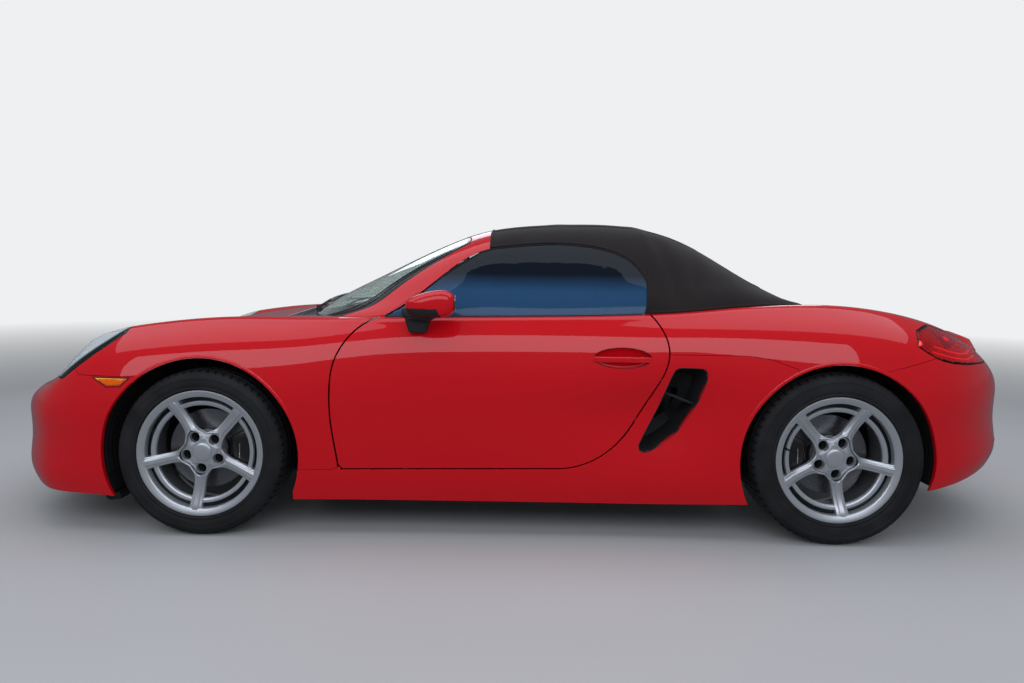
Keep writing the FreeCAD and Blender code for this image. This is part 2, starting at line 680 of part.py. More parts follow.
def tub_cuts():
    """Everything taken out of the load-bearing structure."""
    cuts = [box(CABIN_X0, CABIN_X1, -CABIN_Y, CABIN_Y, FLOOR_Z, FAR)]
    for wheel, bay_y, channel_top in zip(WHEELS, (FRONT_BAY_Y, REAR_BAY_Y),
                                         (FRONT_CHANNEL_TOP, REAR_CHANNEL_TOP)):
        cuts.append(cylinder_y(WELL_R, wheel.x, wheel.tyre_r, bay_y, 1000))
        cuts.append(cylinder_y(WELL_R, wheel.x, wheel.tyre_r, -1000, -bay_y))
        cuts.append(box(wheel.x - AXLE_CHANNEL_HALF, wheel.x + AXLE_CHANNEL_HALF,
                        -bay_y - 5, bay_y + 5, 100, channel_top))
    for x0, x1, half, z0 in (FRONT_TRUNK, REAR_TRUNK):
        cuts.append(box(x0, x1, -half, half, z0, FAR))
    engine_x0, engine_x1, engine_half, engine_z0, engine_z1 = ENGINE
    cuts.append(box(engine_x0, REAR_AXLE_X, -engine_half - 60, engine_half + 60, 100,
                    ENGINE_BAY_TOP))
    x0, x1, half, z0, z1 = SILENCER
    cuts.append(box(x0, x1 + 40, -half - 20, half + 20, 100, z1))
    cuts.append(cylinder_x(PIPE_R + 18, 0, EXHAUST_Z, x1 - 30, 2300))
    lamp_pocket = lamp_prism(-LAMP_SEAT)
    swing = hinge_sweep(SWING_CLEARANCE + 4)
    for side in (-1, 1):
        cuts.append(door_prism(DOOR_POCKET_GROW, *sorted((side * (CABIN_Y - 1), side * FAR)), FAR))
        cuts.append(intake_prism(6, *sorted((side * 640, side * FAR))))
    cuts += [lamp_pocket, mirrored(lamp_pocket), swing, mirrored(swing)]
    for x, y in JACK_POINTS:
        cuts.append(cylinder_z(JACK_PAD_R + 2, x, y, 100, JACK_PAD_Z + 18))
    cuts.append(cylinder_x(TOW_EYE_R, TOW_EYE_Y, TOW_EYE_Z, -2300, TOW_EYE_X + TOW_EYE_DEPTH))
    cuts.append(cylinder_x(TOW_HOLE_R, TOW_EYE_Y, TOW_EYE_Z, -2300, TOW_EYE_X))
    return cuts


def make_tub(bumpers):
    """Load-bearing structure inside the painted shell, open where people and luggage go."""
    core = body_solid(PANEL + SEAT_GAP, FLOOR_INSET)
    tub = largest(core.cut(tub_cuts() + bumpers))
    pads = [cylinder_z(JACK_PAD_R, x, y, JACK_PAD_Z, JACK_PAD_Z + 46) for x, y in JACK_POINTS]
    save("tub", joined([tub] + pads))


def make_greenhouse():
    shell = TOP_SKIN.cut(greenhouse_solid(FRAME_DEPTH))
    glass = greenhouse_solid(SCREEN_DEPTH).cut(greenhouse_solid(SCREEN_DEPTH + GLASS_T))
    screen_plan = both_sides(SCREEN_PLAN)
    rear_plan = both_sides(REAR_GLASS_PLAN)
    window_hole = window_prism(WINDOW_GAP, *WIDE, 600)

    screen_hole = plan_outline(screen_plan, SKIRT_Z, SKY, SEAT_GAP)
    frame = shell.common(side_outline(FRAME_SIDE, *WIDE))
    save("windscreen_frame", largest(frame.cut([screen_hole, window_hole, SEAT_SKIN])))
    screen = glass.common(plan_outline(screen_plan, SKIRT_Z, SKY))
    save("windscreen", largest(screen.cut(SEAT_SKIN)))

    rear_hole = plan_outline(rear_plan, 900, SKY, SEAT_GAP)
    top = shell.common(side_outline(TOP_SIDE, *WIDE))
    save("soft_top", largest(top.cut([window_hole, rear_hole, SEAT_SKIN])))
    save("rear_window", largest(glass.common(plan_outline(rear_plan, 900, SKY))))


def handle_recess():
    """Oval hollow in the door skin behind the pull bar."""
    centre = Vector(HANDLE_X, -FAR, HANDLE_Z)
    oval = Part.Ellipse(centre + Vector(HANDLE_HALF_LENGTH, 0, 0),
                        centre + Vector(0, 0, HANDLE_HALF_HEIGHT), centre)
    return wire_prism([oval.toShape()], Vector(0, HANDLE_FLOOR_Y + FAR, 0))


def pull_bar():
    """Bar across the lower middle of the oval hollow, level with the door skin."""
    reach = HANDLE_HALF_LENGTH + 2
    bar = box(HANDLE_X - reach, HANDLE_X + reach, PULL_FACE_Y, PULL_FACE_Y + 14,
              HANDLE_Z - 17, HANDLE_Z + 5)
    return bar.makeFillet(5, [e for e in bar.Edges if e.BoundBox.XLength > reach])


def make_doors():
    skin = WALL.common(door_prism(-DOOR_GAP / 2, -FAR, -DOOR_SKIN_IN_Y))
    inner = body_solid(PANEL - 1)
    inner = inner.common(door_prism(-DOOR_GAP / 2 - DOOR_INSET, -FAR, -DOOR_INNER_Y, DOOR_BELT_Z))
    inner = inner.common(box(DOOR_HINGE_X + 10, 700, -FAR, 0, 0, DOOR_BELT_Z))
    door = joined([largest(skin), largest(inner)])
    slot = greenhouse_solid(GLASS_DEPTH - BEARING)
    slot = slot.cut(greenhouse_solid(GLASS_DEPTH + GLASS_T + BEARING))
    slot = slot.common(window_prism(2, -FAR, 0, GLASS_LOW_Z - BEARING))
    door = largest(door.cut([slot, handle_recess()]))
    save_pair("door", largest(joined([door, pull_bar()])))
    glass = greenhouse_solid(GLASS_DEPTH).cut(greenhouse_solid(GLASS_DEPTH + GLASS_T))
    save_pair("door_glass", largest(glass.common(window_prism(0, -FAR, 0, GLASS_LOW_Z))))
    save_pair("mirror", largest(mirror_body().cut(SEAT_SKIN)))


def mirror_body():
    """Mirror housing on a slim arm that stands on the door's belt."""
    rings = []
    for ring in MIRROR_RINGS:
        radius = 0.42 * min(ring.z1 - ring.z0, ring.x1 - ring.x0)
        rings.append(rounded_wire_xz(ring, radius))
    housing = Part.makeLoft(rings, True, False)
    arm = side_outline(MIRROR_ARM, -872, -846)
    foot = box(-486, -340, -880, -846, 800, 858)
    return joined([housing, arm, foot])


def rounded_wire_xz(ring, radius):
    """Rectangle with round corners in the plane across Y."""
    bend = radius * (1 - math.sqrt(0.5))

    def at(x, z):
        return Vector(x, ring.y, z)

    x0, x1, z0, z1 = ring.x0, ring.x1, ring.z0, ring.z1
    edges = [
        Part.makeLine(at(x0 + radius, z0), at(x1 - radius, z0)),
        Part.Arc(at(x1 - radius, z0), at(x1 - bend, z0 + bend), at(x1, z0 + radius)).toShape(),
        Part.makeLine(at(x1, z0 + radius), at(x1, z1 - radius)),
        Part.Arc(at(x1, z1 - radius), at(x1 - bend, z1 - bend), at(x1 - radius, z1)).toShape(),
        Part.makeLine(at(x1 - radius, z1), at(x0 + radius, z1)),
        Part.Arc(at(x0 + radius, z1), at(x0 + bend, z1 - bend), at(x0, z1 - radius)).toShape(),
        Part.makeLine(at(x0, z1 - radius), at(x0, z0 + radius)),
        Part.Arc(at(x0, z0 + radius), at(x0 + bend, z0 + bend), at(x0 + radius, z0)).toShape(),
    ]
    return Part.Wire(edges)


def revolved(profile, x, z):
    """Solid of revolution about the axle line; the profile is (radius, y) points."""
    corners = [Vector(x, y, z + radius) for radius, y in profile]
    face = Part.Face(Part.makePolygon(corners + corners[:1]))
    return face.revolve(Vector(x, 0, z), Vector(0, 1, 0), 360)


def make_wheel(wheel):
    """Left wheel: five broad spokes, rim, hub and brake disc as one turning piece."""
    x, z = wheel.x, wheel.tyre_r
    out = -WHEEL_Y - wheel.width / 2 + FLANGE_IN
    inn = -WHEEL_Y + wheel.width / 2 - FLANGE_IN
    rim = revolved([
        (RIM_R, out), (RIM_R, out + 14), (BEAD_R, out + 20), (BEAD_R, out + 46),
        (BARREL_R + 6, out + 70), (BARREL_R + 6, inn - 60), (BEAD_R, inn - 40),
        (BEAD_R, inn - 20), (RIM_R, inn - 14), (RIM_R, inn), (BEAD_R - 8, inn),
        (BARREL_R - 2, inn - 50), (BARREL_R - 2, out + 70), (BEAD_R - 10, out + 36),
        (BEAD_R - 8, out),
    ], x, z)
    face_y = -WHEEL_Y - HUB_FACE_OUT
    disc_out = DISC_Y - DISC_T / 2
    disc_in = DISC_Y + DISC_T / 2
    hub = revolved([
        (BORE_R, face_y - 30), (62, face_y - 30), (70, face_y - 22), (70, face_y),
        (84, face_y), (84, disc_out), (DISC_R, disc_out), (DISC_R, disc_in), (76, disc_in),
        (76, face_y + 8), (48, face_y + 8), (48, face_y + 24), (BORE_R, face_y + 24),
    ], x, z)
    cap = cylinder_y(34, x, z, face_y - 36, face_y - 28)
    angles = [math.radians(wheel.first_spoke_angle + 360.0 / SPOKES * k) for k in range(SPOKES)]
    spokes = [spoke(x, z, angle, face_y, out) for angle in angles]
    lugs = [cylinder_y(LUG_HOLE_R, x + LUG_CIRCLE_R * math.cos(a), z + LUG_CIRCLE_R * math.sin(a),
                       face_y - 90, face_y - 30 + LUG_HOLE_DEPTH) for a in angles]
    return largest(joined([rim, hub, cap] + spokes).cut(lugs))


def spoke(x, z, angle, face_y, out):
    """Broad spoke, narrow at its waist, with a raised middle and recessed flanks."""
    along = Vector(math.cos(angle), 0, math.sin(angle))
    side = Vector(-math.sin(angle), 0, math.cos(angle))
    rings = []
    for row in SPOKE_ROWS:
        base = face_y + row.way * (out - face_y)
        points = []
        for across, depth in ((-1, row.back), (-1, row.flank), (-0.42, row.middle),
                              (0.42, row.middle), (1, row.flank), (1, row.back)):
            place = Vector(x, base + depth, z) + along * row.radius
            points.append(place + side * across * row.half)
        rings.append(Part.makePolygon(points + points[:1]))
    return Part.makeLoft(rings, True, True)


def make_tyre(wheel):
    half = wheel.width / 2
    y = -WHEEL_Y
    out = y - half + FLANGE_IN
    radius = wheel.tyre_r
    profile = [(BEAD_R + 0.5, out + 21), (RIM_R + 0.8, out + 14.8), (RIM_R + 0.8, out + 9),
               (RIM_R + 14, out - 3), (RIM_R + 34, y - half), (radius - 34, y - half),
               (radius - 12, y - half + 9), (radius - 3, y - half + 24), (radius, y - half + 44)]
    profile += [(r, 2 * y - yy) for r, yy in reversed(profile)]
    return revolved(profile, wheel.x, wheel.tyre_r)


def make_wheels():
    for wheel in WHEELS:
        save_pair(wheel.axle + "_wheel", make_wheel(wheel))
        save_pair(wheel.axle + "_tyre", make_tyre(wheel))


def caliper(x, z, toward):
    """Brake caliper over the disc, on the side given by toward along X."""
    sector = revolved([(CALIPER_IN_R, DISC_Y - 46), (CALIPER_OUT_R - 14, DISC_Y - 46),
                       (CALIPER_OUT_R, DISC_Y - 34), (CALIPER_OUT_R, DISC_Y + 38),
                       (CALIPER_IN_R, DISC_Y + 38)], x, z)
    wedge = side_outline([(x, z), (x + toward * 260, z + 130), (x + toward * 260, z - 130)],
                         DISC_Y - 60, DISC_Y + 60)
    slot_out = DISC_Y - DISC_T / 2 - CALIPER_GAP
    slot_in = DISC_Y + DISC_T / 2 + CALIPER_GAP
    slot_r = DISC_R + CALIPER_GAP
    slot = revolved([(60, slot_out), (slot_r, slot_out), (slot_r, slot_in), (60, slot_in)], x, z)
    return sector.common(wedge).cut(slot)


def knuckle(x, z, toward, pin_bore):
    """Upright with the stub axle that the hub turns on, and the caliper."""
    face_y = -WHEEL_Y - HUB_FACE_OUT
    stub = cylinder_y(BORE_R - BEARING, x, z, face_y - 26, -PIN_Y)
    plate = box(x - 48, x + 48, -PIN_Y - 28, -PIN_Y + 34, z - 90, z + 96)
    bracket = box(*sorted((x, x + toward * 175)), DISC_Y + 20, -PIN_Y + 20, z - 34, z + 34)
    body = joined([stub, plate, bracket, caliper(x, z, toward)])
    if pin_bore:
        body = body.cut(cylinder_z(STEER_PIN_R + BEARING, x, -PIN_Y, 0, 800))
    return largest(body)


def arm_plate(x, side, root_y, root_half, tip_y, tip_half, z0, z1):
    """Flat suspension arm, wide at its root and narrow at its tip."""
    return plan_outline([(x - root_half, side * root_y), (x + root_half, side * root_y),
                         (x + tip_half, side * tip_y), (x - tip_half, side * tip_y)], z0, z1)


def make_suspension():
    x = FRONT_AXLE_X
    save_pair("front_knuckle", knuckle(x, FRONT_TYRE_R, 1, True))
    pieces = [box(x - 90, x + 90, -360, 360, BEAM_LOW_Z, FRONT_CHANNEL_TOP)]
    for side in (-1, 1):
        pieces.append(arm_plate(x, side, 340, 80, PIN_Y + 22, 22, 200, 226))
        pieces.append(box(x - 80, x + 80, *sorted((side * 320, side * 356)), 200, 250))
        pieces.append(cylinder_z(STEER_PIN_R, x, side * PIN_Y, PIN_LOW_Z, PIN_HIGH_Z))
        pieces.append(box(x - 20, x + 20, *sorted((side * 570, side * (PIN_Y + 14))), 436, 460))
        pieces.append(cylinder_z(STRUT_R, x, side * 584, 436, 640))
        pieces.append(box(x - 34, x + 34, *sorted((side * FRONT_BAY_Y, side * 600)), 610, 640))
    save("front_axle", joined(pieces))

    x = REAR_AXLE_X
    left = knuckle(x, REAR_TYRE_R, -1, False)
    pieces = [box(x - 90, x + 90, -420, 420, BEAM_LOW_Z, REAR_CHANNEL_TOP), left, mirrored(left)]
    for side in (-1, 1):
        pieces.append(arm_plate(x, side, 400, 80, PIN_Y, 26, 250, 278))
        pieces.append(box(x - 20, x + 20, *sorted((side * 590, side * PIN_Y)), 400, 424))
        pieces.append(cylinder_z(STRUT_R, x, side * 600, 400, 660))
        pieces.append(box(x - 34, x + 34, *sorted((side * REAR_BAY_Y, side * 612)), 630, 660))
    save("rear_axle", joined(pieces))


def make_interior():
    dash = side_outline([(CABIN_X0, 520), (-520, 520), (-455, 600), (-430, 700), (-450, 770),
                         (-560, 812), (CABIN_X0, 822)], -CABIN_Y + 0.5, CABIN_Y - 0.5)
    console = box(-560, 330, -110, 110, FLOOR_Z, 400)
    console = console.makeFillet(18, console.Edges)
    stack = side_outline([(-640, 360), (-500, 360), (-440, 560), (-640, 560)], -105, 105)
    hood = side_outline([(-600, 780), (-430, 770), (-400, 818), (-440, 850), (-590, 838)],
                        -500, -220)
    save("dashboard", joined([dash, console, stack, hood]))

    centre = Vector(STEER_X, -SEAT_Y, STEER_Z)
    axis = Vector(math.cos(STEER_TILT), 0, math.sin(STEER_TILT))
    side = Vector(0, 1, 0)
    down = axis.cross(side)
    ring = Part.makeTorus(STEER_R, 15, centre, axis)
    boss = Part.makeCylinder(52, 46, centre - axis * 40, axis)
    spokes = [rod(centre, centre + d * (STEER_R - 4), 12) for d in (side, -side, down)]
    save("steering_wheel", joined([ring, boss] + spokes))
    column = Part.makeCylinder(30, 130, centre - axis * (40 + SEAT_GAP + 130), axis)
    save("steering_column", column.cut(joined([dash, hood])))

    save("seat_left", seat(-SEAT_Y))
    save("seat_right", seat(SEAT_Y))


def seat(y):
    """Bucket seat: base, cushion, raised side bolsters and a high back."""
    side = side_outline([(-120, 330), (-110, 420), (-40, 450), (250, 400), (285, 430), (400, 980),
                         (440, 1050), (490, 1050), (520, 1010), (470, 700), (400, 330), (380, 250),
                         (-60, 250)], y - SEAT_HALF, y + SEAT_HALF)
    hollow = side_outline([(-200, 400), (-40, 425), (262, 372), (400, 960), (250, 1100),
                           (-200, 1100)], y - SEAT_HALF + 62, y + SEAT_HALF - 62)
    edge = SEAT_HALF + 5
    trim = outline_yz([(y - edge, 200), (y - edge, 860), (y - 130, 900), (y - 120, 1100),
                       (y + 120, 1100), (y + 130, 900), (y + edge, 860), (y + edge, 200)],
                      -300, 700)
    base = box(-60, 330, y - 190, y + 190, FLOOR_Z, 260)
    return joined([side.cut(hollow).common(trim), base])


def make_mechanics():
    x0, x1, half, z0, z1 = ENGINE
    save("engine_block", box(x0, x1, -half, half, z0, z1))
    x0, x1, half, z0, z1 = SILENCER
    silencer = box(x0, x1, -half, half, z0, z1)
    silencer = silencer.makeFillet(45, [e for e in silencer.Edges if e.BoundBox.YLength > half])
    pipe = cylinder_x(PIPE_R, 0, EXHAUST_Z, x1 - 20, PIPE_END_X)
    bore = cylinder_x(PIPE_R - 6, 0, EXHAUST_Z, x1 + 60, 2300)
    save("exhaust", joined([silencer, pipe]).cut(bore))
    save("spoiler", largest(tail_blade().cut(SEAT_SKIN)))


def tail_blade():
    """Blade across the tail, behind the rear lid and between the lamps."""
    def ring(row, y):
        points = [(BLADE_X, BLADE_LOW_Z), (BLADE_X + 2, row.z_front - 12),
                  (BLADE_X + 12, row.z_front), (row.x_shoulder, row.z_shoulder),
                  (row.x_lip - 6, row.z_lip + 8), (row.x_lip, row.z_lip),
                  (row.x_lip - 10, row.z_lip - 14), (row.x_lip - 12, BLADE_LOW_Z)]
        return Part.makePolygon([Vector(x, y, z) for x, z in points + points[:1]])

    half = [ring(row, -row.y) for row in BLADE_ROWS]
    other = [ring(row, row.y) for row in reversed(BLADE_ROWS[:-1])]
    return Part.makeLoft(half + other, True, True)


painted_bumpers = make_panels()
make_tub(painted_bumpers)
make_greenhouse()
make_doors()
make_wheels()
make_suspension()
make_interior()
make_mechanics()
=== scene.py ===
import math

import bmesh
import bpy
from mathutils import Matrix, Vector
from mathutils.bvhtree import BVHTree
from mathutils.interpolate import poly_3d_calc


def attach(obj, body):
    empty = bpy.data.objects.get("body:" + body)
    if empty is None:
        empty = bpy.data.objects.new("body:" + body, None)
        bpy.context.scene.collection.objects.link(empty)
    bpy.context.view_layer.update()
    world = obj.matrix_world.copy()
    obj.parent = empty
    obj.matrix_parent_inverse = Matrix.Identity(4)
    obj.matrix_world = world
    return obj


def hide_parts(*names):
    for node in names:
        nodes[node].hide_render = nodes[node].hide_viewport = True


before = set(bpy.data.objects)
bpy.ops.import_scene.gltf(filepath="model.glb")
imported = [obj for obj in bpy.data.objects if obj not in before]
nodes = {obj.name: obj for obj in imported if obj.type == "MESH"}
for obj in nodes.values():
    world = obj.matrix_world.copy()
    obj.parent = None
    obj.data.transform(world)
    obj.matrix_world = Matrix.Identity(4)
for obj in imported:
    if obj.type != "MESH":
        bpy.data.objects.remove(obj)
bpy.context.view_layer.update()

# A two-seat convertible with its soft top up, in metres.
# The front points to -X, the left side to -Y, and +Z is up.

MM = 0.001
FRONT_AXLE = Vector((-1.257, 0, 0.325))
REAR_AXLE = Vector((1.218, 0, 0.337))
WHEEL_Y = 0.763
FRONT_TYRE_W = 0.228
REAR_TYRE_W = 0.252
SIDES = (("left", -1), ("right", 1))


# Lower body sections in millimetres: x, z_floor, y_floor, y_wide, z_wide, hollow, chin,
# y_crest, z_crest, z_inner, z_middle
BODY = [
    (-2187, 246, 208, 222, 345, 0, 0, 150, 420, 426, 430),
    (-2180, 212, 346, 358, 400, 2, 6, 262, 448, 456, 464),
    (-2140, 186, 508, 520, 446, 4, 14, 404, 494, 502, 512),
    (-2060, 170, 638, 650, 458, 5, 15, 544, 544, 554, 566),
    (-1930, 156, 776, 790, 466, 5, 12, 655, 586, 594, 612),
    (-1840, 152, 822, 838, 480, 3, 6, 690, 666, 640, 656),
    (-1750, 152, 846, 866, 496, 0, 2, 702, 754, 694, 710),
    (-1650, 150, 858, 880, 514, 0, 0, 704, 791, 732, 746),
    (-1550, 144, 866, 888, 530, 0, 0, 703, 814, 766, 780),
    (-1257, 143, 874, 893, 560, 0, 0, 700, 850, 820, 838),
    (-950, 145, 868, 889, 585, 0, 0, 722, 852, 852, 876),
    (-700, 145, 858, 886, 600, 0, 0, 772, 856, 862, 892),
    (-450, 145, 856, 886, 610, 0, 0, 796, 862, 866, 894),
    (-150, 145, 856, 887, 618, 3, 0, 802, 868, 870, 890),
    (150, 145, 857, 889, 628, 12, 0, 802, 875, 874, 888),
    (350, 145, 860, 891, 640, 26, 2, 798, 881, 878, 888),
    (500, 146, 864, 894, 655, 42, 4, 793, 888, 883, 889),
    (620, 148, 868, 896, 664, 40, 4, 784, 896, 889, 891),
    (720, 150, 872, 898, 664, 16, 2, 772, 905, 894, 894),
    (900, 154, 878, 900, 655, 0, 0, 740, 922, 904, 900),
    (1218, 162, 884, 902, 620, 0, 0, 700, 935, 912, 908),
    (1480, 198, 880, 894, 606, 0, 2, 690, 906, 902, 900),
    (1700, 232, 834, 844, 596, 0, 8, 640, 852, 868, 872),
    (1890, 262, 708, 718, 592, 3, 18, 556, 778, 808, 826),
    (2020, 276, 566, 576, 588, 4, 22, 448, 690, 768, 802),
    (2105, 282, 428, 438, 570, 4, 20, 330, 632, 690, 712),
    (2160, 292, 290, 300, 540, 2, 10, 215, 572, 598, 610),
    (2187, 312, 130, 140, 440, 0, 0, 90, 510, 520, 526),
]

# Roof sections in millimetres: x, y_belt, z_belt, y_side, z_side, y_rail, z_rail,
# y_roof, z_roof, z_middle
GREENHOUSE = [
    (-985, 590, 800, 440, 826, 330, 838, 180, 850, 856),
    (-900, 660, 828, 560, 850, 430, 876, 250, 902, 912),
    (-784, 722, 840, 650, 872, 560, 918, 340, 958, 976),
    (-640, 760, 850, 692, 900, 612, 968, 355, 1028, 1048),
    (-500, 782, 858, 716, 935, 616, 1046, 355, 1098, 1118),
    (-330, 790, 863, 700, 1010, 616, 1118, 350, 1178, 1196),
    (-176, 792, 867, 694, 1050, 604, 1176, 345, 1230, 1246),
    (0, 794, 871, 700, 1040, 600, 1198, 345, 1258, 1271),
    (250, 794, 877, 702, 1040, 598, 1206, 345, 1270, 1284),
    (480, 788, 886, 702, 1040, 590, 1196, 340, 1262, 1279),
    (680, 772, 898, 688, 1020, 570, 1146, 330, 1212, 1232),
    (850, 748, 912, 656, 1000, 526, 1070, 300, 1132, 1154),
    (1000, 712, 920, 600, 972, 460, 1008, 260, 1052, 1068),
    (1130, 668, 916, 540, 940, 396, 962, 225, 988, 998),
    (1240, 616, 896, 470, 908, 336, 924, 190, 936, 942),
    (1330, 560, 864, 410, 872, 290, 878, 160, 884, 888),
]
SKIRT_Z = 700

# Longest edge of a painted panel's mesh, and how near a corner lies to be laid on the skin
PANEL_EDGE = 0.045
PANEL_REACH = 0.0012


def body_section(row):
    """Half section of the lower body in metres, from the floor edge to the middle."""
    (x, z_floor, y_floor, y_wide, z_wide, hollow, chin, y_crest, z_crest, z_inner,
     z_middle) = row
    rise = z_wide - z_floor
    flare = y_wide - y_floor
    points = [
        (y_floor - 14, z_floor),
        (y_floor + 0.10 * flare + chin, z_floor + 0.20 * rise),
        (y_floor + 0.45 * flare - 0.6 * hollow, z_floor + 0.50 * rise),
        (y_floor + 0.80 * flare - hollow, z_floor + 0.76 * rise),
        (y_wide, z_wide),
        (y_wide - 0.20 * (y_wide - y_crest), z_wide + 0.60 * (z_crest - z_wide)),
        (y_crest + 0.30 * (y_wide - y_crest), z_wide + 0.90 * (z_crest - z_wide)),
        (y_crest, z_crest),
        (0.78 * y_crest, z_inner),
        (0.42 * y_crest, 0.4 * z_inner + 0.6 * z_middle),
        (0, z_middle),
    ]
    return [Vector((x, y, z)) * MM for y, z in points]


def roof_section(row):
    """Half section of the cabin's upper part in metres, from under the belt to the middle."""
    x, y_belt, z_belt, y_side, z_side, y_rail, z_rail, y_roof, z_roof, z_middle = row
    points = [(y_belt + 6, SKIRT_Z), (y_belt, z_belt), (y_side, z_side), (y_rail, z_rail),
              (y_roof, z_roof), (0, z_middle)]
    return [Vector((x, y, z)) * MM for y, z in points]


def whole_section(half):
    """Section from side to side, made from its right half."""
    left = [Vector((p.x, -p.y, p.z)) for p in half]
    return left + list(reversed(half[:-1]))


def sharpened(grid):
    """Cage whose smooth surface passes very close to the given points."""
    def softened(lines):
        inner = [[(a + 4 * b + c) / 6 for a, b, c in zip(lines[i - 1], lines[i], lines[i + 1])]
                 for i in range(1, len(lines) - 1)]
        return [lines[0]] + inner + [lines[-1]]

    def turned(lines):
        return [list(column) for column in zip(*lines)]

    soft = turned(softened(turned(softened(grid))))
    return [[2 * p - q for p, q in zip(row, soft_row)] for row, soft_row in zip(grid, soft)]


def net(rows):
    """Grid of four-sided faces through rows of points."""
    columns = len(rows[0])
    bm = bmesh.new()
    bmesh.ops.create_grid(bm, x_segments=columns - 1, y_segments=len(rows) - 1, size=1)
    bm.verts.ensure_lookup_table()
    for index, vert in enumerate(bm.verts):
        vert.co = rows[index // columns][index % columns]
    return bm


def loose(bm, name="cutter"):
    """Object made from the bmesh, not yet a piece of the car."""
    mesh = bpy.data.meshes.new(name)
    bm.to_mesh(mesh)
    bm.free()
    piece = bpy.data.objects.new(name, mesh)
    bpy.context.scene.collection.objects.link(piece)
    return piece


def baked_mesh(piece):
    """The piece's mesh with its modifiers applied, as a new mesh."""
    bpy.context.view_layer.update()
    graph = bpy.context.evaluated_depsgraph_get()
    return bpy.data.meshes.new_from_object(piece.evaluated_get(graph))


class Skin:
    """Smooth outer surface grown from the section table, to read places and normals from."""

    def __init__(self, name, table, section, levels=4):
        cage = loose(net(sharpened([whole_section(section(row)) for row in table])), name)
        smooth = cage.modifiers.new("Smooth", "SUBSURF")
        smooth.levels = levels
        smooth.render_levels = levels
        smooth.boundary_smooth = "PRESERVE_CORNERS"
        mesh = baked_mesh(cage)
        self.points = [v.co.copy() for v in mesh.vertices]
        self.normals = [v.normal.copy() for v in mesh.vertices]
        self.faces = [tuple(p.vertices) for p in mesh.polygons]
        self.tree = BVHTree.FromPolygons(self.points, self.faces)
        if self.nearest(Vector((0, 0, 3)))[1].z < 0:
            self.normals = [-n for n in self.normals]
        bpy.data.objects.remove(cage)

    def nearest(self, point):
        """Nearest place on the surface, its smooth normal and the distance to it."""
        place, _, index, distance = self.tree.find_nearest(point)
        corners = self.faces[index]
        weights = poly_3d_calc([self.points[c] for c in corners], place)
        normal = Vector()
        for corner, weight in zip(corners, weights):
            normal += self.normals[corner] * weight
        return place, normal.normalized(), distance


body_skin = Skin("body_skin", BODY, body_section)
roof_skin = Skin("roof_skin", GREENHOUSE, roof_section)


def apply_modifiers(piece):
    """Turns the piece's modifiers into plain mesh."""
    mesh = baked_mesh(piece)
    piece.modifiers.clear()
    old = piece.data
    piece.data = mesh
    bpy.data.meshes.remove(old)
    return piece


def placed(name, bm, finish, body="root", smooth_angle=30.0):
    """Makes a piece from a bmesh, smooth apart from edges sharper than the angle."""
    piece = reshaded(loose(bm, name), smooth_angle)
    for entry in [finish] if isinstance(finish, str) else finish:
        piece.data.materials.append(FINISH[entry])
    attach(piece, body)
    return piece


def added(name, bm, finish, body="root", smooth_angle=30.0):
    """Makes a piece whose faces are all turned outward first."""
    bmesh.ops.recalc_face_normals(bm, faces=bm.faces)
    return placed(name, bm, finish, body, smooth_angle)


def eased(name, bm, finish, body, width, segments=2, angle=35.0):
    """Makes a piece with edges rounded to the width."""
    piece = added(name, bm, finish, body)
    rounded(piece, width, segments, angle)
    return reshaded(piece, 35.0)


def merged_copy(node):
    """bmesh of a node's own mesh with its loose corners merged."""
    bm = bmesh.new()
    bm.from_mesh(nodes[node].data)
    bmesh.ops.remove_doubles(bm, verts=bm.verts, dist=0.02 * MM)
    return bm


def split_long_edges(bm, longest, rounds=5):
    """Splits edges in half until none is longer, or the rounds are over."""
    for _ in range(rounds):
        long_edges = [e for e in bm.edges if e.calc_length() > longest]
        if not long_edges:
            break
        bmesh.ops.subdivide_edges(bm, edges=long_edges, cuts=1, use_grid_fill=False)
        bmesh.ops.triangulate(bm, faces=[f for f in bm.faces if len(f.verts) > 3])


def fitted_normals(mesh, skin, reach):
    """Gives corners that lie on the skin the skin's own normal; others keep theirs."""
    found = {}
    for vert in mesh.vertices:
        _, normal, distance = skin.nearest(vert.co)
        if distance < reach:
            found[vert.index] = normal
    custom = []
    for polygon in mesh.polygons:
        for vertex in polygon.vertices:
            normal = found.get(vertex)
            facing = normal is not None and normal.dot(polygon.normal) > 0.8
            custom.append(normal if facing else Vector((0, 0, 0)))
    mesh.normals_split_custom_set(custom)


def painted_panel(node, body, skin=body_skin):
    """Copy of a shell panel, made finer and laid exactly on the smooth skin."""
    bm = merged_copy(node)
    split_long_edges(bm, PANEL_EDGE)
    for vert in bm.verts:
        place, _, distance = skin.nearest(vert.co)
        if distance < PANEL_REACH:
            vert.co = place
    piece = placed(node + "_shell", bm, "paint", body, 35.0)
    fitted_normals(piece.data, skin, PANEL_REACH)
    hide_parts(node)


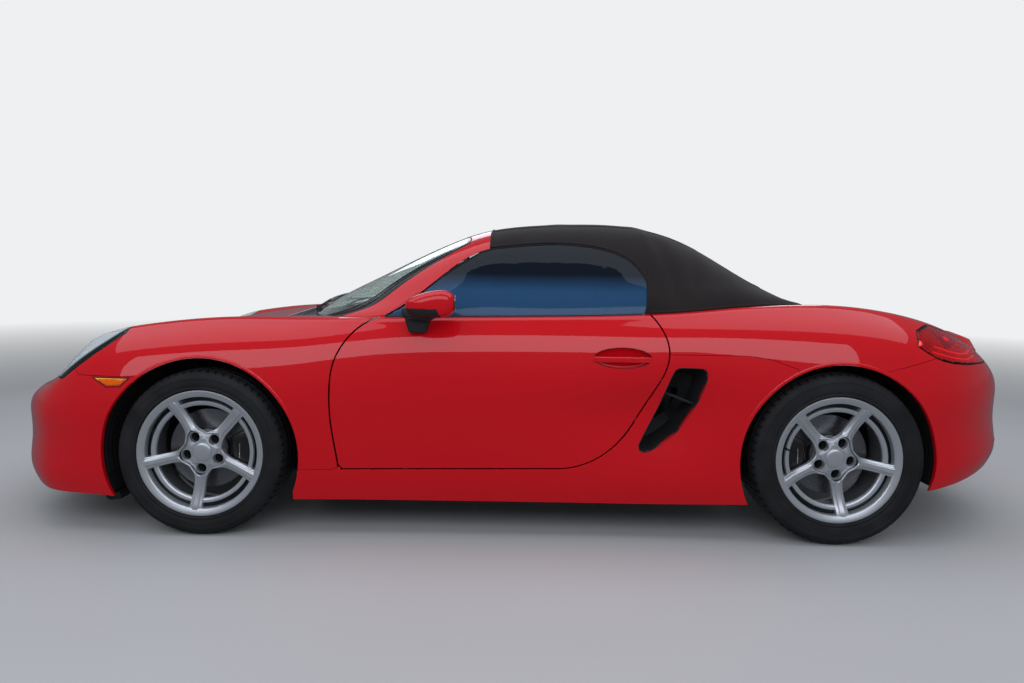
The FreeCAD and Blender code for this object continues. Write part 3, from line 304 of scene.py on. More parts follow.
class Finish:
    """Node material around one Principled shader, with short calls for its patterns."""

    def __init__(self, name, colour, roughness, metallic=0.0, **sockets):
        self.material = bpy.data.materials.new(name)
        self.material.use_nodes = True
        self.nodes = self.material.node_tree.nodes
        self.links = self.material.node_tree.links
        self.shader = self.nodes["Principled BSDF"]
        self.place = self.nodes.new("ShaderNodeTexCoord").outputs["Object"]
        self.set("Base Color", (*colour, 1.0))
        self.set("Roughness", roughness)
        self.set("Metallic", metallic)
        for socket, value in sockets.items():
            self.set(socket.replace("_", " ").title().replace("Ior", "IOR"), value)

    def set(self, socket, value):
        self.shader.inputs[socket].default_value = value

    def make(self, kind, inputs=(), **settings):
        node = self.nodes.new(kind)
        for key, value in settings.items():
            setattr(node, key, value)
        for key, value in dict(inputs).items():
            if isinstance(value, bpy.types.NodeSocket):
                self.links.new(value, node.inputs[key])
            else:
                node.inputs[key].default_value = value
        return node

    def noise(self, scale, detail=3.0, stretch=None, roughness=0.5):
        """Noise in object space, its features about 1 / scale metres wide."""
        place = self.place
        if stretch:
            place = self.make("ShaderNodeMapping", {"Vector": place, "Scale": stretch}).outputs[0]
        inputs = {"Vector": place, "Scale": scale, "Detail": detail, "Roughness": roughness}
        return self.make("ShaderNodeTexNoise", inputs).outputs["Fac"]

    def cells(self, scale, feature="F1"):
        inputs = {"Vector": self.place, "Scale": scale}
        return self.make("ShaderNodeTexVoronoi", inputs, feature=feature).outputs["Distance"]

    def span(self, value, low, high, out_low=0.0, out_high=1.0):
        inputs = {"Value": value, "From Min": low, "From Max": high, "To Min": out_low,
                  "To Max": out_high}
        return self.make("ShaderNodeMapRange", inputs, clamp=True).outputs["Result"]

    def axes(self):
        return self.make("ShaderNodeSeparateXYZ", {"Vector": self.place}).outputs

    def sum(self, first, second, operation="ADD"):
        return self.make("ShaderNodeMath", {0: first, 1: second}, operation=operation).outputs[0]

    def tint(self, value, dark, pale):
        """Base colour from dark to pale as the value goes from 0 to 1."""
        mix = self.nodes.new("ShaderNodeMix")
        mix.data_type = "RGBA"
        self.links.new(value, mix.inputs["Factor"])
        mix.inputs[6].default_value = (*dark, 1.0)
        mix.inputs[7].default_value = (*pale, 1.0)
        self.links.new(mix.outputs[2], self.shader.inputs["Base Color"])

    def rough(self, value, low, high):
        self.links.new(self.span(value, 0.0, 1.0, low, high), self.shader.inputs["Roughness"])

    def bump(self, height, depth, strength=1.0, socket="Normal"):
        """Relief of the given depth in metres."""
        inputs = {"Height": height, "Distance": depth, "Strength": strength}
        node = self.make("ShaderNodeBump", inputs)
        self.links.new(node.outputs["Normal"], self.shader.inputs[socket])


def paint_finish():
    """Solid red under a clear coat, with the coat's slight waviness."""
    f = Finish("paint_red", (0.58, 0.003, 0.008), 0.4, coat_weight=1.0, coat_roughness=0.015,
               coat_ior=1.5, specular_ior_level=0.05)
    f.tint(f.noise(1.2, 2.0), (0.56, 0.002, 0.007), (0.60, 0.004, 0.010))
    f.bump(f.noise(260.0, 1.0), 0.00003, 0.25, "Coat Normal")
    return f.material


def plastic_finish(name, colour, roughness, grain=900.0, depth=0.0002):
    f = Finish(name, colour, roughness, specular_ior_level=0.4)
    pale = tuple(min(1.0, c * 1.35 + 0.004) for c in colour)
    f.tint(f.noise(6.0, 4.0), colour, pale)
    f.bump(f.cells(grain), depth, 0.5)
    return f.material


def rubber_finish(name, colour, roughness):
    f = Finish(name, colour, roughness, specular_ior_level=0.3)
    pale = tuple(c * 1.7 + 0.004 for c in colour)
    f.tint(f.span(f.noise(9.0, 6.0), 0.35, 0.75), colour, pale)
    f.rough(f.noise(30.0, 3.0), roughness - 0.08, roughness + 0.1)
    f.bump(f.noise(700.0, 2.0), 0.0002, 0.4)
    return f.material


def metal_finish(name, colour, roughness, grain=60.0, stretch=None, depth=0.00005, coat=0.0):
    f = Finish(name, colour, roughness, metallic=1.0, coat_weight=coat, coat_roughness=0.08)
    value = f.noise(grain, 4.0, stretch)
    f.tint(f.span(value, 0.3, 0.7), tuple(c * 0.88 for c in colour), colour)
    f.rough(value, roughness - 0.05, roughness + 0.08)
    f.bump(value, depth, 0.4)
    return f.material


def wheel_finish():
    """Silver lacquered aluminium with fine metal flake."""
    f = Finish("wheel_silver", (0.60, 0.62, 0.65), 0.34, metallic=0.75, coat_weight=0.7,
               coat_roughness=0.08)
    flake = f.cells(2600.0)
    f.tint(f.span(flake, 0.1, 0.6), (0.52, 0.54, 0.57), (0.68, 0.70, 0.73))
    f.bump(flake, 0.00003, 0.3)
    return f.material


def canvas_finish(name, dark, pale, threads=520.0, depth=0.0004):
    """Woven cloth: two crossed threads in object space over soft mottling."""
    f = Finish(name, dark, 0.9, specular_ior_level=0.1, sheen_weight=0.08, sheen_roughness=0.5)
    waves = []
    for direction in ("X", "Y"):
        wave = f.make("ShaderNodeTexWave", {"Vector": f.place, "Scale": threads / 6.2832,
                                            "Distortion": 0.6, "Detail": 1.0},
                      wave_type="BANDS", bands_direction=direction)
        waves.append(wave.outputs["Fac"])
    weave = f.sum(waves[0], waves[1], "MULTIPLY")
    f.tint(f.sum(f.noise(5.0, 5.0), f.span(weave, 0.0, 1.0, -0.15, 0.15)), dark, pale)
    f.bump(weave, depth, 0.6)
    return f.material


def window_finish():
    """Tinted side and rear glass; the deep blue below is a painted reflection and the darker part
    toward the roof is painted shade.
    """
    f = Finish("glass_tinted", (0.03, 0.07, 0.13), 0.0, transmission_weight=0.55, ior=1.45,
               specular_ior_level=0.15)
    # Height mask: painted reflection in deep blue low on the glass, painted shade darkening it toward
    # the roof.
    height = f.sum(f.axes()["Z"], f.sum(f.noise(3.0, 2.0), 0.02, "MULTIPLY"))
    f.tint(f.span(height, 0.98, 1.05), (0.040, 0.135, 0.29), (0.010, 0.016, 0.028))
    return f.material


def glass_finish(name, tint, roughness=0.0):
    f = Finish(name, tint, roughness, transmission_weight=1.0, ior=1.45)
    pale = tuple(min(1.0, c * 1.06) for c in tint)
    f.tint(f.noise(2.0, 2.0), tint, pale)
    return f.material


def head_lamp_finish(name, roughness, pale, **sockets):
    """Dark along the head lamp's lower edge and pale above it; on the lens the pale part is a painted
    reflection.
    """
    f = Finish(name, pale, roughness, **sockets)
    axes = f.axes()
    edge = f.sum(f.sum(axes["X"], 1.808), 0.78, "MULTIPLY")
    above = f.sum(f.sum(axes["Z"], edge, "SUBTRACT"), 0.615, "SUBTRACT")
    f.tint(f.span(above, 0.018, 0.030), (0.004, 0.020, 0.020), pale)
    return f.material


def glow_finish(name, colour, strength):
    """Lamp part that shines a little by itself."""
    f = Finish(name, colour, 0.25, emission_strength=strength)
    f.set("Emission Color", (*colour, 1.0))
    f.tint(f.noise(60.0, 2.0), tuple(c * 0.8 for c in colour), colour)
    return f.material


def leather_finish(name, dark, pale):
    f = Finish(name, dark, 0.5, specular_ior_level=0.4, sheen_weight=0.1)
    f.tint(f.span(f.noise(7.0, 5.0), 0.3, 0.7), dark, pale)
    f.bump(f.cells(420.0, "DISTANCE_TO_EDGE"), 0.0003, 0.5)
    return f.material


def carpet_finish():
    f = Finish("carpet_black", (0.012, 0.012, 0.013), 0.95, sheen_weight=0.4)
    pile = f.noise(600.0, 2.0)
    f.tint(f.span(pile, 0.3, 0.7), (0.008, 0.008, 0.009), (0.03, 0.03, 0.032))
    f.bump(pile, 0.0015, 0.7)
    return f.material


def disc_finish():
    """Cast iron turned bright by the pads, in rings about each axle."""
    f = Finish("disc_iron", (0.42, 0.42, 0.43), 0.32, metallic=1.0)
    axes = f.axes()
    x, z = axes["X"], axes["Z"]
    rear = f.sum(x, 0.0, "GREATER_THAN")
    centre_x = f.span(rear, 0.0, 1.0, FRONT_AXLE.x, REAR_AXLE.x)
    centre_z = f.span(rear, 0.0, 1.0, FRONT_AXLE.z, REAR_AXLE.z)
    dx = f.sum(x, centre_x, "SUBTRACT")
    dz = f.sum(z, centre_z, "SUBTRACT")
    radius = f.sum(f.sum(f.sum(dx, dx, "MULTIPLY"), f.sum(dz, dz, "MULTIPLY")), 0.5, "POWER")
    rings = f.make("ShaderNodeTexNoise", {"W": f.sum(radius, 900.0, "MULTIPLY"), "Scale": 1.0,
                                          "Detail": 2.0}, noise_dimensions="1D").outputs["Fac"]
    f.tint(f.span(rings, 0.3, 0.7), (0.20, 0.20, 0.20), (0.38, 0.38, 0.39))
    f.bump(rings, 0.00008, 0.5)
    return f.material


FINISH = {
    "paint": paint_finish(),
    "plastic": plastic_finish("plastic_black", (0.012, 0.012, 0.013), 0.48),
    "gloss_black": plastic_finish("plastic_gloss_black", (0.008, 0.008, 0.009), 0.12, 300.0, 0.00002),
    "liner": plastic_finish("liner_black", (0.010, 0.010, 0.011), 0.72, 260.0, 0.0006),
    "under": plastic_finish("underbody_black", (0.006, 0.006, 0.007), 0.8, 120.0, 0.0008),
    "seal": rubber_finish("seal_rubber", (0.007, 0.007, 0.008), 0.55),
    "tyre": rubber_finish("tyre_rubber", (0.009, 0.009, 0.010), 0.70),
    "wheel": wheel_finish(),
    # Painted shade: dark colour for the groove inside the rim's lip, standing for its shadow.
    "dark_silver": metal_finish("groove_painted_shade", (0.055, 0.060, 0.068), 0.35, 200.0),
    "bolt": metal_finish("bolt_black", (0.030, 0.030, 0.032), 0.38, 200.0, depth=0.0001),
    "disc": disc_finish(),
    "caliper": metal_finish("caliper_grey", (0.075, 0.072, 0.072), 0.42, 200.0, depth=0.0002),
    "steel": metal_finish("steel_dark", (0.20, 0.20, 0.21), 0.5, 120.0, depth=0.0003),
    "alloy": metal_finish("alloy_cast", (0.45, 0.45, 0.46), 0.45, 300.0, depth=0.0003),
    "exhaust": metal_finish("exhaust_steel", (0.62, 0.60, 0.57), 0.18, 40.0, (1.0, 6.0, 6.0)),
    "chrome": metal_finish("chrome_bright", (0.86, 0.86, 0.87), 0.06, 20.0, depth=0.00001),
    "canvas": canvas_finish("roof_canvas", (0.011, 0.009, 0.009), (0.030, 0.024, 0.024)),
    "lining": canvas_finish("lining_cloth", (0.012, 0.012, 0.013), (0.03, 0.03, 0.032), 900.0, 0.0002),
    "glass": window_finish(),
    "screen": glass_finish("glass_screen", (0.72, 0.84, 0.80)),
    # Painted reflection: the clear lens is coloured pale above its dark lower edge.
    "lamp_glass": head_lamp_finish("lamp_clear", 0.02, (0.80, 0.84, 0.86),
                                   transmission_weight=0.45, ior=1.45),
    "red_lens": glass_finish("lens_red", (0.82, 0.06, 0.10)),
    "amber": glass_finish("lens_amber", (1.0, 0.32, 0.02), 0.05),
    "lamp_bowl": head_lamp_finish("lamp_bowl", 0.25, (0.55, 0.60, 0.61), metallic=0.2),
    "projector": plastic_finish("lamp_projector", (0.16, 0.19, 0.20), 0.04, 300.0, 0.00001),
    "light_bar": glow_finish("light_bar", (0.80, 0.88, 0.90), 0.25),
    "tail_bowl": metal_finish("tail_bowl", (0.55, 0.10, 0.13), 0.22, 60.0),
    "red_core": plastic_finish("reflector_red", (0.42, 0.006, 0.010), 0.15, 260.0, 0.0002),
    "tail_patch": plastic_finish("tail_patch", (0.16, 0.20, 0.34), 0.12, 160.0, 0.0001),
    "glow_red": glow_finish("lamp_coral", (1.0, 0.12, 0.09), 0.5),
    "glow_warm": glow_finish("lamp_warm", (1.0, 0.72, 0.35), 3.0),
    "amber_core": plastic_finish("amber_core", (1.0, 0.46, 0.07), 0.2, 220.0, 0.0004),
    "mirror": metal_finish("mirror_silver", (0.80, 0.82, 0.84), 0.02, 10.0, depth=0.000001),
    "leather": leather_finish("leather_black", (0.012, 0.011, 0.011), (0.028, 0.026, 0.026)),
    "carpet": carpet_finish(),
}


def make_panels():
    """Painted panels, each laid on the smooth skin so that reflections run across the seams."""
    for node in ("front_bumper", "rear_bumper", "deck"):
        painted_panel(node, "root")
    painted_panel("windscreen_frame", "root", roof_skin)
    painted_panel("spoiler", "root")
    for node in ("front_lid", "rear_lid"):
        painted_panel(node, node)
    for side, _ in SIDES:
        for node in ("fender_", "quarter_", "side_panel_"):
            painted_panel(node + side, "root")
        painted_panel("door_" + side, "door_" + side)


SHOWN_NODES = {
    "tub": "under", "cowl": "plastic", "front_axle": "steel", "rear_axle": "steel",
    "dashboard": "leather", "steering_column": "plastic", "engine_block": "alloy",
    "exhaust": "exhaust", "front_knuckle_left": "caliper", "front_knuckle_right": "caliper",
}


def finish_shown_nodes():
    """Nodes that are shown as they are get a worked finish of their own."""
    for name, finish in SHOWN_NODES.items():
        materials = nodes[name].data.materials
        materials.clear()
        materials.append(FINISH[finish])


def lattice(rows, close_rows=False, close_columns=False):
    """Surface of four-sided faces through rows of points, joined end to end where asked."""
    if close_columns:
        rows = [list(row) + [row[0]] for row in rows]
    if close_rows:
        rows = list(rows) + [rows[0]]
    bm = net(rows)
    bmesh.ops.remove_doubles(bm, verts=bm.verts, dist=0.003 * MM)
    return bm


def ends_filled(bm):
    """Closes the open ends of a surface."""
    bmesh.ops.holes_fill(bm, edges=[e for e in bm.edges if e.is_boundary])
    return bm


def around(count):
    """Evenly spaced angles of a full turn."""
    return [2 * math.pi * k / count for k in range(count)]


def squared(value, power=0.7):
    """Sine or cosine changed so that a circle becomes a square with round corners."""
    return math.copysign(abs(value) ** power, value)


def merged_into(bm, other):
    """Adds the other bmesh's faces to the first one."""
    mesh = bpy.data.meshes.new("part")
    other.to_mesh(mesh)
    other.free()
    bm.from_mesh(mesh)
    bpy.data.meshes.remove(mesh)
    return bm


def turned_copies(bm, count, centre):
    """The bmesh repeated round an axle through the centre."""
    source = list(bm.verts) + list(bm.edges) + list(bm.faces)
    for step in range(1, count):
        copy = bmesh.ops.duplicate(bm, geom=source)
        verts = [v for v in copy["geom"] if isinstance(v, bmesh.types.BMVert)]
        turn = Matrix.Rotation(2 * math.pi * step / count, 3, "Y")
        bmesh.ops.rotate(bm, cent=centre, matrix=turn, verts=verts)
    bmesh.ops.remove_doubles(bm, verts=bm.verts, dist=0.02 * MM)
    return bm


def smoothed(piece, levels):
    modifier = piece.modifiers.new("Smooth", "SUBSURF")
    modifier.levels = levels
    modifier.render_levels = levels
    return apply_modifiers(piece)


def thickened(piece, thickness, offset=-1.0):
    modifier = piece.modifiers.new("Thick", "SOLIDIFY")
    modifier.thickness = thickness
    modifier.offset = offset
    return apply_modifiers(piece)


def rounded(piece, width, segments=2, angle=30.0):
    modifier = piece.modifiers.new("Round", "BEVEL")
    modifier.width = width
    modifier.segments = segments
    modifier.limit_method = "ANGLE"
    modifier.angle_limit = math.radians(angle)
    return apply_modifiers(piece)


def carved(piece, cutters):
    """The piece less each of the cutting solids, which are removed."""
    for cutter in cutters:
        modifier = piece.modifiers.new("Cut", "BOOLEAN")
        modifier.operation = "DIFFERENCE"
        modifier.solver = "EXACT"
        modifier.object = cutter
    apply_modifiers(piece)
    for cutter in cutters:
        bpy.data.objects.remove(cutter)
    return piece


def reshaded(piece, angle=30.0):
    for polygon in piece.data.polygons:
        polygon.use_smooth = True
    piece.data.set_sharp_from_angle(angle=math.radians(angle))
    return piece


def revolved(profile, centre, steps, axis="Y", closed=True):
    """Surface of revolution; the profile is (radius, place along the axis) in metres."""
    rows = []
    for angle in around(steps):
        c, s = math.cos(angle), math.sin(angle)
        if axis == "Y":
            rows.append([Vector((centre.x + r * c, a, centre.z + r * s)) for r, a in profile])
        else:
            rows.append([Vector((a, centre.y + r * c, centre.z + r * s)) for r, a in profile])
    return lattice(rows, close_rows=True, close_columns=closed)


def rod(bm, start, end, radius, segments=16, end_radius=None):
    """Adds a closed round rod between two places."""
    start, end = Vector(start), Vector(end)
    line = end - start
    turn = Vector((0, 0, 1)).rotation_difference(line).to_matrix().to_4x4()
    place = Matrix.Translation((start + end) / 2) @ turn
    bmesh.ops.create_cone(bm, cap_ends=True, segments=segments, radius1=radius,
                          radius2=radius if end_radius is None else end_radius,
                          depth=line.length, matrix=place)
    return bm


def rods(name, rows, finish, body="root", smooth_angle=35.0):
    """Makes a piece of round rods from rows of what each rod is made with."""
    bm = bmesh.new()
    for row in rows:
        rod(bm, *row)
    return added(name, bm, finish, body, smooth_angle)


def block(bm, low, high):
    """Adds a box between two opposite corners."""
    low, high = Vector(low), Vector(high)
    size = [abs(a) for a in high - low]
    place = Matrix.Translation((low + high) / 2) @ Matrix.Diagonal((*size, 1.0))
    bmesh.ops.create_cube(bm, size=1.0, matrix=place)


def spline(points, count, closed=False):
    """Evenly spaced places along a smooth curve through the points."""
    points = [Vector(p) for p in points]
    n = len(points)
    fine = []
    spans = n if closed else n - 1
    for i in range(spans):
        if closed:
            p0, p1, p2, p3 = (points[(i + k - 1) % n] for k in range(4))
        else:
            p1, p2 = points[i], points[i + 1]
            p0 = points[i - 1] if i else p1 * 2 - p2
            p3 = points[i + 2] if i + 2 < n else p2 * 2 - p1
        for k in range(12):
            t = k / 12
            fine.append(0.5 * (p1 * 2 + (p2 - p0) * t + (p0 * 2 - p1 * 5 + p2 * 4 - p3) * t * t
                               + (p1 * 3 - p0 - p2 * 3 + p3) * t ** 3))
    fine.append(points[0] if closed else points[-1])
    lengths = [0.0]
    for a, b in zip(fine, fine[1:]):
        lengths.append(lengths[-1] + (b - a).length)
    stops = count if closed else count - 1
    result = []
    index = 0
    for k in range(count):
        target = lengths[-1] * k / stops
        while index < len(fine) - 2 and lengths[index + 1] < target:
            index += 1
        span = lengths[index + 1] - lengths[index]
        share = (target - lengths[index]) / span if span else 0.0
        result.append(fine[index].lerp(fine[index + 1], min(1.0, max(0.0, share))))
    return result


def on_skin(skin, origin, toward, start, depth):
    """Where the ray meets the skin, or else the place nearest to start, and its normal."""
    place = skin.tree.ray_cast(origin, toward)[0]
    if place is None:
        place = skin.nearest(start)[0]
    place, normal, _ = skin.nearest(place)
    return place + normal * depth, normal


def side_places(points, side, depth=0.0, skin=body_skin):
    """Places on the skin under side view points in millimetres, moved out by depth metres."""
    toward = Vector((0, -side, 0))
    return [on_skin(skin, Vector((x * MM, side * 1.5, z * MM)), toward,
                    Vector((x * MM, side * 0.8, z * MM)), depth) for x, z in points]


def plan_places(points, side, depth=0.0, skin=body_skin):
    """Places on the skin under plan view points (x, distance from the middle)."""
    toward = Vector((0, 0, -1))
    return [on_skin(skin, Vector((x * MM, side * y * MM, 1.6)), toward,
                    Vector((x * MM, side * y * MM, 0.9)), depth) for x, y in points]


def beside(path, index, closed):
    """The neighbours after and before one item of a path."""
    if closed:
        return path[(index + 1) % len(path)], path[index - 1]
    return path[min(index + 1, len(path) - 1)], path[max(index - 1, 0)]


def seal(name, places, half_width, height, finish, body="root", closed=False, low=-1.0):
    """Rubber or trim line along the skin, half round and flattened; sizes in millimetres."""
    section = [(-half_width * math.cos(a), low + (height - low) * math.sin(a))
               for a in (math.pi * k / 7 for k in range(8))]
    rows = []
    for i, (place, normal) in enumerate(places):
        ahead, behind = beside(places, i, closed)
        across = normal.cross((ahead[0] - behind[0]).normalized()).normalized()
        rows.append([place + (across * a + normal * h) * MM for a, h in section])
    bm = lattice(rows, close_rows=closed, close_columns=True)
    if not closed:
        ends_filled(bm)
    return added(name, bm, finish, body, 50.0)


def dense(points, count, closed=False):
    """Side or plan view points made even and smooth; both are pairs in millimetres."""
    return [(p.x, p.y) for p in spline([(a, b, 0) for a, b in points], count, closed)]


HUB_FACE_Y = 0.820
DISC_Y = 0.776
BOLT_CIRCLE = 65
TREAD_DEPTH = 5.5
SPOKES = 5

# Half a spoke and its share of the hub's raised border, from the rim inward. Each line runs
# from the middle (radius mm, angle) to the edge (radius mm, angle). "way" leans from the hub
# face to the rim's lip, "wall" is the drop inside the border; then depths behind the face of
# the raised middle, the flank and the back.
SPOKE_LINES = (
    ((236, 0), (235, 6.6), 1.00, 0, 5, 9, 42),
    ((226, 0), (225, 6.5), 0.97, 0, 4, 9, 42),
    ((212, 0), (211, 6.4), 0.88, 0, 0, 6, 38),
    ((190, 0), (190, 6.7), 0.62, 0, -6, 1, 27),
    ((164, 0), (164, 7.6), 0.36, 0, -12, -5, 16),
    ((138, 0), (137, 9.0), 0.17, 0, -18, -11, 8),
    ((118, 0), (116, 10.6), 0.06, 0, -24, -17, 3),
    ((104, 0), (100, 13.6), 0.0, 0, -27, -21, 0),
    ((96, 0), (91, 19.0), 0.0, 2, -29, -25, -2),
    ((89, 9), (84, 25.0), 0.0, 7, -30, -27, -3),
    ((78, 22), (79, 31.0), 0.0, 8, -30, -28, -3),
    ((71, 36), (77, 36.0), 0.0, 8, -30, -28, -3),
)


class Wheel:
    """Places shared by the pieces of one wheel."""

    def __init__(self, axle, side_name, side):
        front = axle == "front"
        self.name = axle + "_wheel_" + side_name
        self.tyre = axle + "_tyre_" + side_name
        self.side = side
        self.hub = Vector(FRONT_AXLE if front else REAR_AXLE)
        self.width = FRONT_TYRE_W if front else REAR_TYRE_W
        self.radius = self.hub.z
        self.first = 120.0 if front else 133.0
        self.lip = WHEEL_Y + self.width / 2 - 0.006
        self.inner_lip = WHEEL_Y - self.width / 2 + 0.006

    def about(self, radius, degrees, out, ahead=1):
        """Place by radius in millimetres, angle and distance from the middle of the car."""
        angle = math.radians(degrees)
        return Vector((self.hub.x + ahead * radius * MM * math.cos(angle), self.side * out,
                       self.hub.z + radius * MM * math.sin(angle)))

    def at(self, radius, degrees, out):
        """The same, with the angle counted from the first spoke."""
        return self.about(radius, self.first + degrees, out)

    def spun(self, profile, steps, closed=False):
        """Surface round the axle; the profile is (radius, distance from the middle)."""
        return revolved([(r, self.side * y) for r, y in profile], self.hub, steps, closed=closed)


def make_wheel_face(wheel):
    """Five spokes that widen into the raised border of the hub, as one smooth piece."""
    def line(sign, middle, edge, way, wall, high, low, back):
        base = HUB_FACE_Y + way * (wheel.lip - HUB_FACE_Y)
        hub = wall / 8
        columns = ((0.0, high + wall), (0.22 - 0.1 * hub, high), (0.42 + 0.1 * hub, high),
                   (0.54 + 0.2 * hub, high + 0.8 * (low - high)), (0.9, low), (1.0, low + 2),
                   (1.02, low + 0.3 * (back - low)), (1.0, back - 3), (0.9, back), (0.0, back))
        points = []
        for share, depth in columns:
            radius = middle[0] + share * (edge[0] - middle[0])
            angle = middle[1] + share * (edge[1] - middle[1])
            points.append(wheel.at(radius, sign * angle, base - depth * MM))
        return points

    bm = lattice([line(1, *row) for row in SPOKE_LINES])
    merged_into(bm, lattice([line(-1, *row) for row in SPOKE_LINES]))
    turned_copies(bm, SPOKES, wheel.hub)
    face = added(wheel.name + "_spokes", bm, "wheel", wheel.name, 60.0)
    smoothed(face, 2)
    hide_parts(wheel.name)


def make_hub(wheel):
    """Hub plate with bolt recesses, the raised middle and the plain cap."""
    rows = []
    for step in range(60):
        angle = 6.0 * step
        lobe = 0.5 - 0.5 * math.cos(math.radians(SPOKES * angle))
        edge = 88 - 14 * lobe
        raised = 46 + 13 * lobe ** 2
        columns = ((edge, 12), (edge, -18), (raised + 7, -21), (raised + 3, -22),
                   (raised, -26.5), (raised - 3, -27.5), (40, -28), (39, -27), (30, -27),
                   (30, 12))
        rows.append([wheel.at(r, angle, HUB_FACE_Y - depth * MM) for r, depth in columns])
    bm = lattice(rows, close_rows=True, close_columns=True)
    hub = added(wheel.name + "_hub", bm, "wheel", wheel.name, 40.0)

    def at_bolt(k, out):
        return wheel.at(BOLT_CIRCLE, 72 * k, HUB_FACE_Y + out)

    cutters = []
    for k in range(SPOKES):
        cutter = bmesh.new()
        rod(cutter, at_bolt(k, -0.002), at_bolt(k, 0.060), 0.0185, 32, 0.0225)
        cutters.append(loose(cutter))
    carved(hub, cutters)
    rounded(hub, 0.0008, 2, 35.0)
    reshaded(hub, 35.0)

    cap = wheel.spun(((0.0, 0.8555), (0.012, 0.8554), (0.026, 0.8546), (0.0345, 0.8530),
                      (0.0365, 0.8515), (0.0375, 0.8480), (0.0375, 0.8440)), 48)
    added(wheel.name + "_cap", cap, "wheel", wheel.name, 45.0)

    steps = ((0.003, 0.0183, 24), (0.014, 0.0085, 6), (0.0165, 0.0060, 16))
    bolts = rods(wheel.name + "_bolts",
                 [(at_bolt(k, -0.001), at_bolt(k, out), radius, sides)
                  for k in range(SPOKES) for out, radius, sides in steps], "bolt", wheel.name)
    rounded(bolts, 0.0006, 1, 35.0)
    reshaded(bolts, 30.0)


def make_rim(wheel):
    """Rim with its rolled lip, the groove inside it darkened with painted shade, the inner ring and
    the barrel.
    """
    lip, inner = wheel.lip, wheel.inner_lip
    silver = ((246, lip - 0.012), (246.3, lip - 0.003), (245.2, lip - 0.0006), (243, lip),
              (239, lip - 0.0004), (232, lip - 0.003), (224, lip - 0.006), (221, lip - 0.0075),
              (219.4, lip - 0.0105), (219, lip - 0.014), (218, lip - 0.036))
    groove = ((218, lip - 0.036), (216, lip - 0.040), (203.5, lip - 0.040), (202, lip - 0.037))
    ring = ((202, lip - 0.037), (201.4, lip - 0.026), (200, lip - 0.0235), (198, lip - 0.023),
            (189, lip - 0.026), (185, lip - 0.028), (183.4, lip - 0.031), (183.2, lip - 0.040),
            (186, lip - 0.050), (204, lip - 0.070))
    barrel = ((204, lip - 0.070), (211, lip - 0.084), (212, inner + 0.060), (222, inner + 0.030),
              (230, inner + 0.004), (234, inner), (243, inner), (246, inner + 0.003),
              (246, inner + 0.012), (234.6, inner + 0.020), (222, inner + 0.050),
              (216, lip - 0.070), (230, lip - 0.046), (234.6, lip - 0.022), (246, lip - 0.012))
    # The groove gets the dark painted shade finish.
    pieces = (("rim", silver, "wheel"), ("groove", groove, "dark_silver"),
              ("inner_ring", ring, "wheel"), ("barrel", barrel, "wheel"))
    for name, profile, finish in pieces:
        bm = wheel.spun([(r * MM, y) for r, y in profile], 144)
        added(wheel.name + "_" + name, bm, finish, wheel.name, 42.0)
    valve = (wheel.at(206, 36, lip - 0.034), wheel.at(198, 36, lip + 0.002), 0.0045, 16, 0.0035)
    rods(wheel.name + "_valve", [valve], "seal", wheel.name, 40.0)


def make_disc(wheel):
    """Cross-drilled brake disc with its bell, turning with the wheel."""
    out, back = DISC_Y, DISC_Y - 0.022
    face = wheel.spun(((0.086, out), (0.1575, out), (0.158, out - 0.001), (0.158, out - 0.0075),
                       (0.150, out - 0.0075), (0.150, back + 0.0075), (0.158, back + 0.0075),
                       (0.158, back + 0.001), (0.1575, back), (0.086, back)), 96, True)
    disc = added(wheel.name + "_disc", face, "disc", wheel.name, 35.0)
    drills = bmesh.new()
    for k in range(48):
        radius = (100, 114, 128, 142)[k % 4] + (k % 3) * 2
        degrees = 7.5 * k
        rod(drills, wheel.at(radius, degrees, out - 0.004), wheel.at(radius, degrees, out + 0.004),
            0.0032, 10)
    carved(disc, [loose(drills)])
    reshaded(disc, 35.0)
    bell = wheel.spun(((0.040, 0.800), (0.076, 0.800), (0.080, 0.798), (0.084, 0.790),
                       (0.0865, out - 0.004), (0.0865, back)), 72)
    added(wheel.name + "_bell", bell, "steel", wheel.name, 35.0)


def make_tyre(wheel):
    """Tyre with grooves round the tread, cross grooves, shoulder ribs and sidewall rings."""
    half = wheel.width / 2 * 1000
    radius = wheel.radius * 1000
    side_wall = [(236, half - 26), (241, half - 21), (246.6, half - 15.4), (247.4, half - 9),
                 (249, half - 4), (253, half - 0.6), (256, half - 0.4), (258, half - 2.0),
                 (262, half - 2.2), (264, half - 0.8), (272, half - 0.2), (280, half),
                 (radius - 40, half - 0.3), (radius - 34, half - 1.2), (radius - 32, half - 0.4),
                 (radius - 27, half - 1.6), (radius - 18, half - 5.5), (radius - 11, half - 10.5)]
    shoulder = [(radius - 6.0, half - 17, 1.0), (radius - 3.2, half - 24, 1.0),
                (radius - 1.2, half - 34, 1.0), (radius - 0.3, half - 44, 0.7)]
    grooves = []
    for middle, w in ((half - 48, 4.0), ((half - 48) / 3, 5.0)):
        grooves += [(radius, middle + w, 0.4), (radius - 7.5, middle + w - 1.4, 0.0),
                    (radius - 7.5, middle - w + 1.4, 0.0), (radius, middle - w, 0.3)]
    outer = [(r, y, 0.0) for r, y in side_wall] + shoulder + grooves
    profile = outer + [(r, -y, cut) for r, y, cut in reversed(outer)]
    rows = []
    pitch = 360.0 / 64
    for k in range(64):
        for part, low in ((0.0, 1.0), (0.06, 0.0), (0.70, 0.0), (0.76, 1.0)):
            row = []
            for r, y, cut in profile:
                skew = 0.28 * (abs(y) / half) * (1 if cut else 0)
                row.append(wheel.about(r - TREAD_DEPTH * cut * low, (k + part + skew) * pitch,
                                       WHEEL_Y + y * MM))
            rows.append(row)
    bm = lattice(rows, close_rows=True)
    tyre = added(wheel.tyre + "_tread", bm, "tyre", wheel.name, 32.0)
    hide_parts(wheel.tyre)


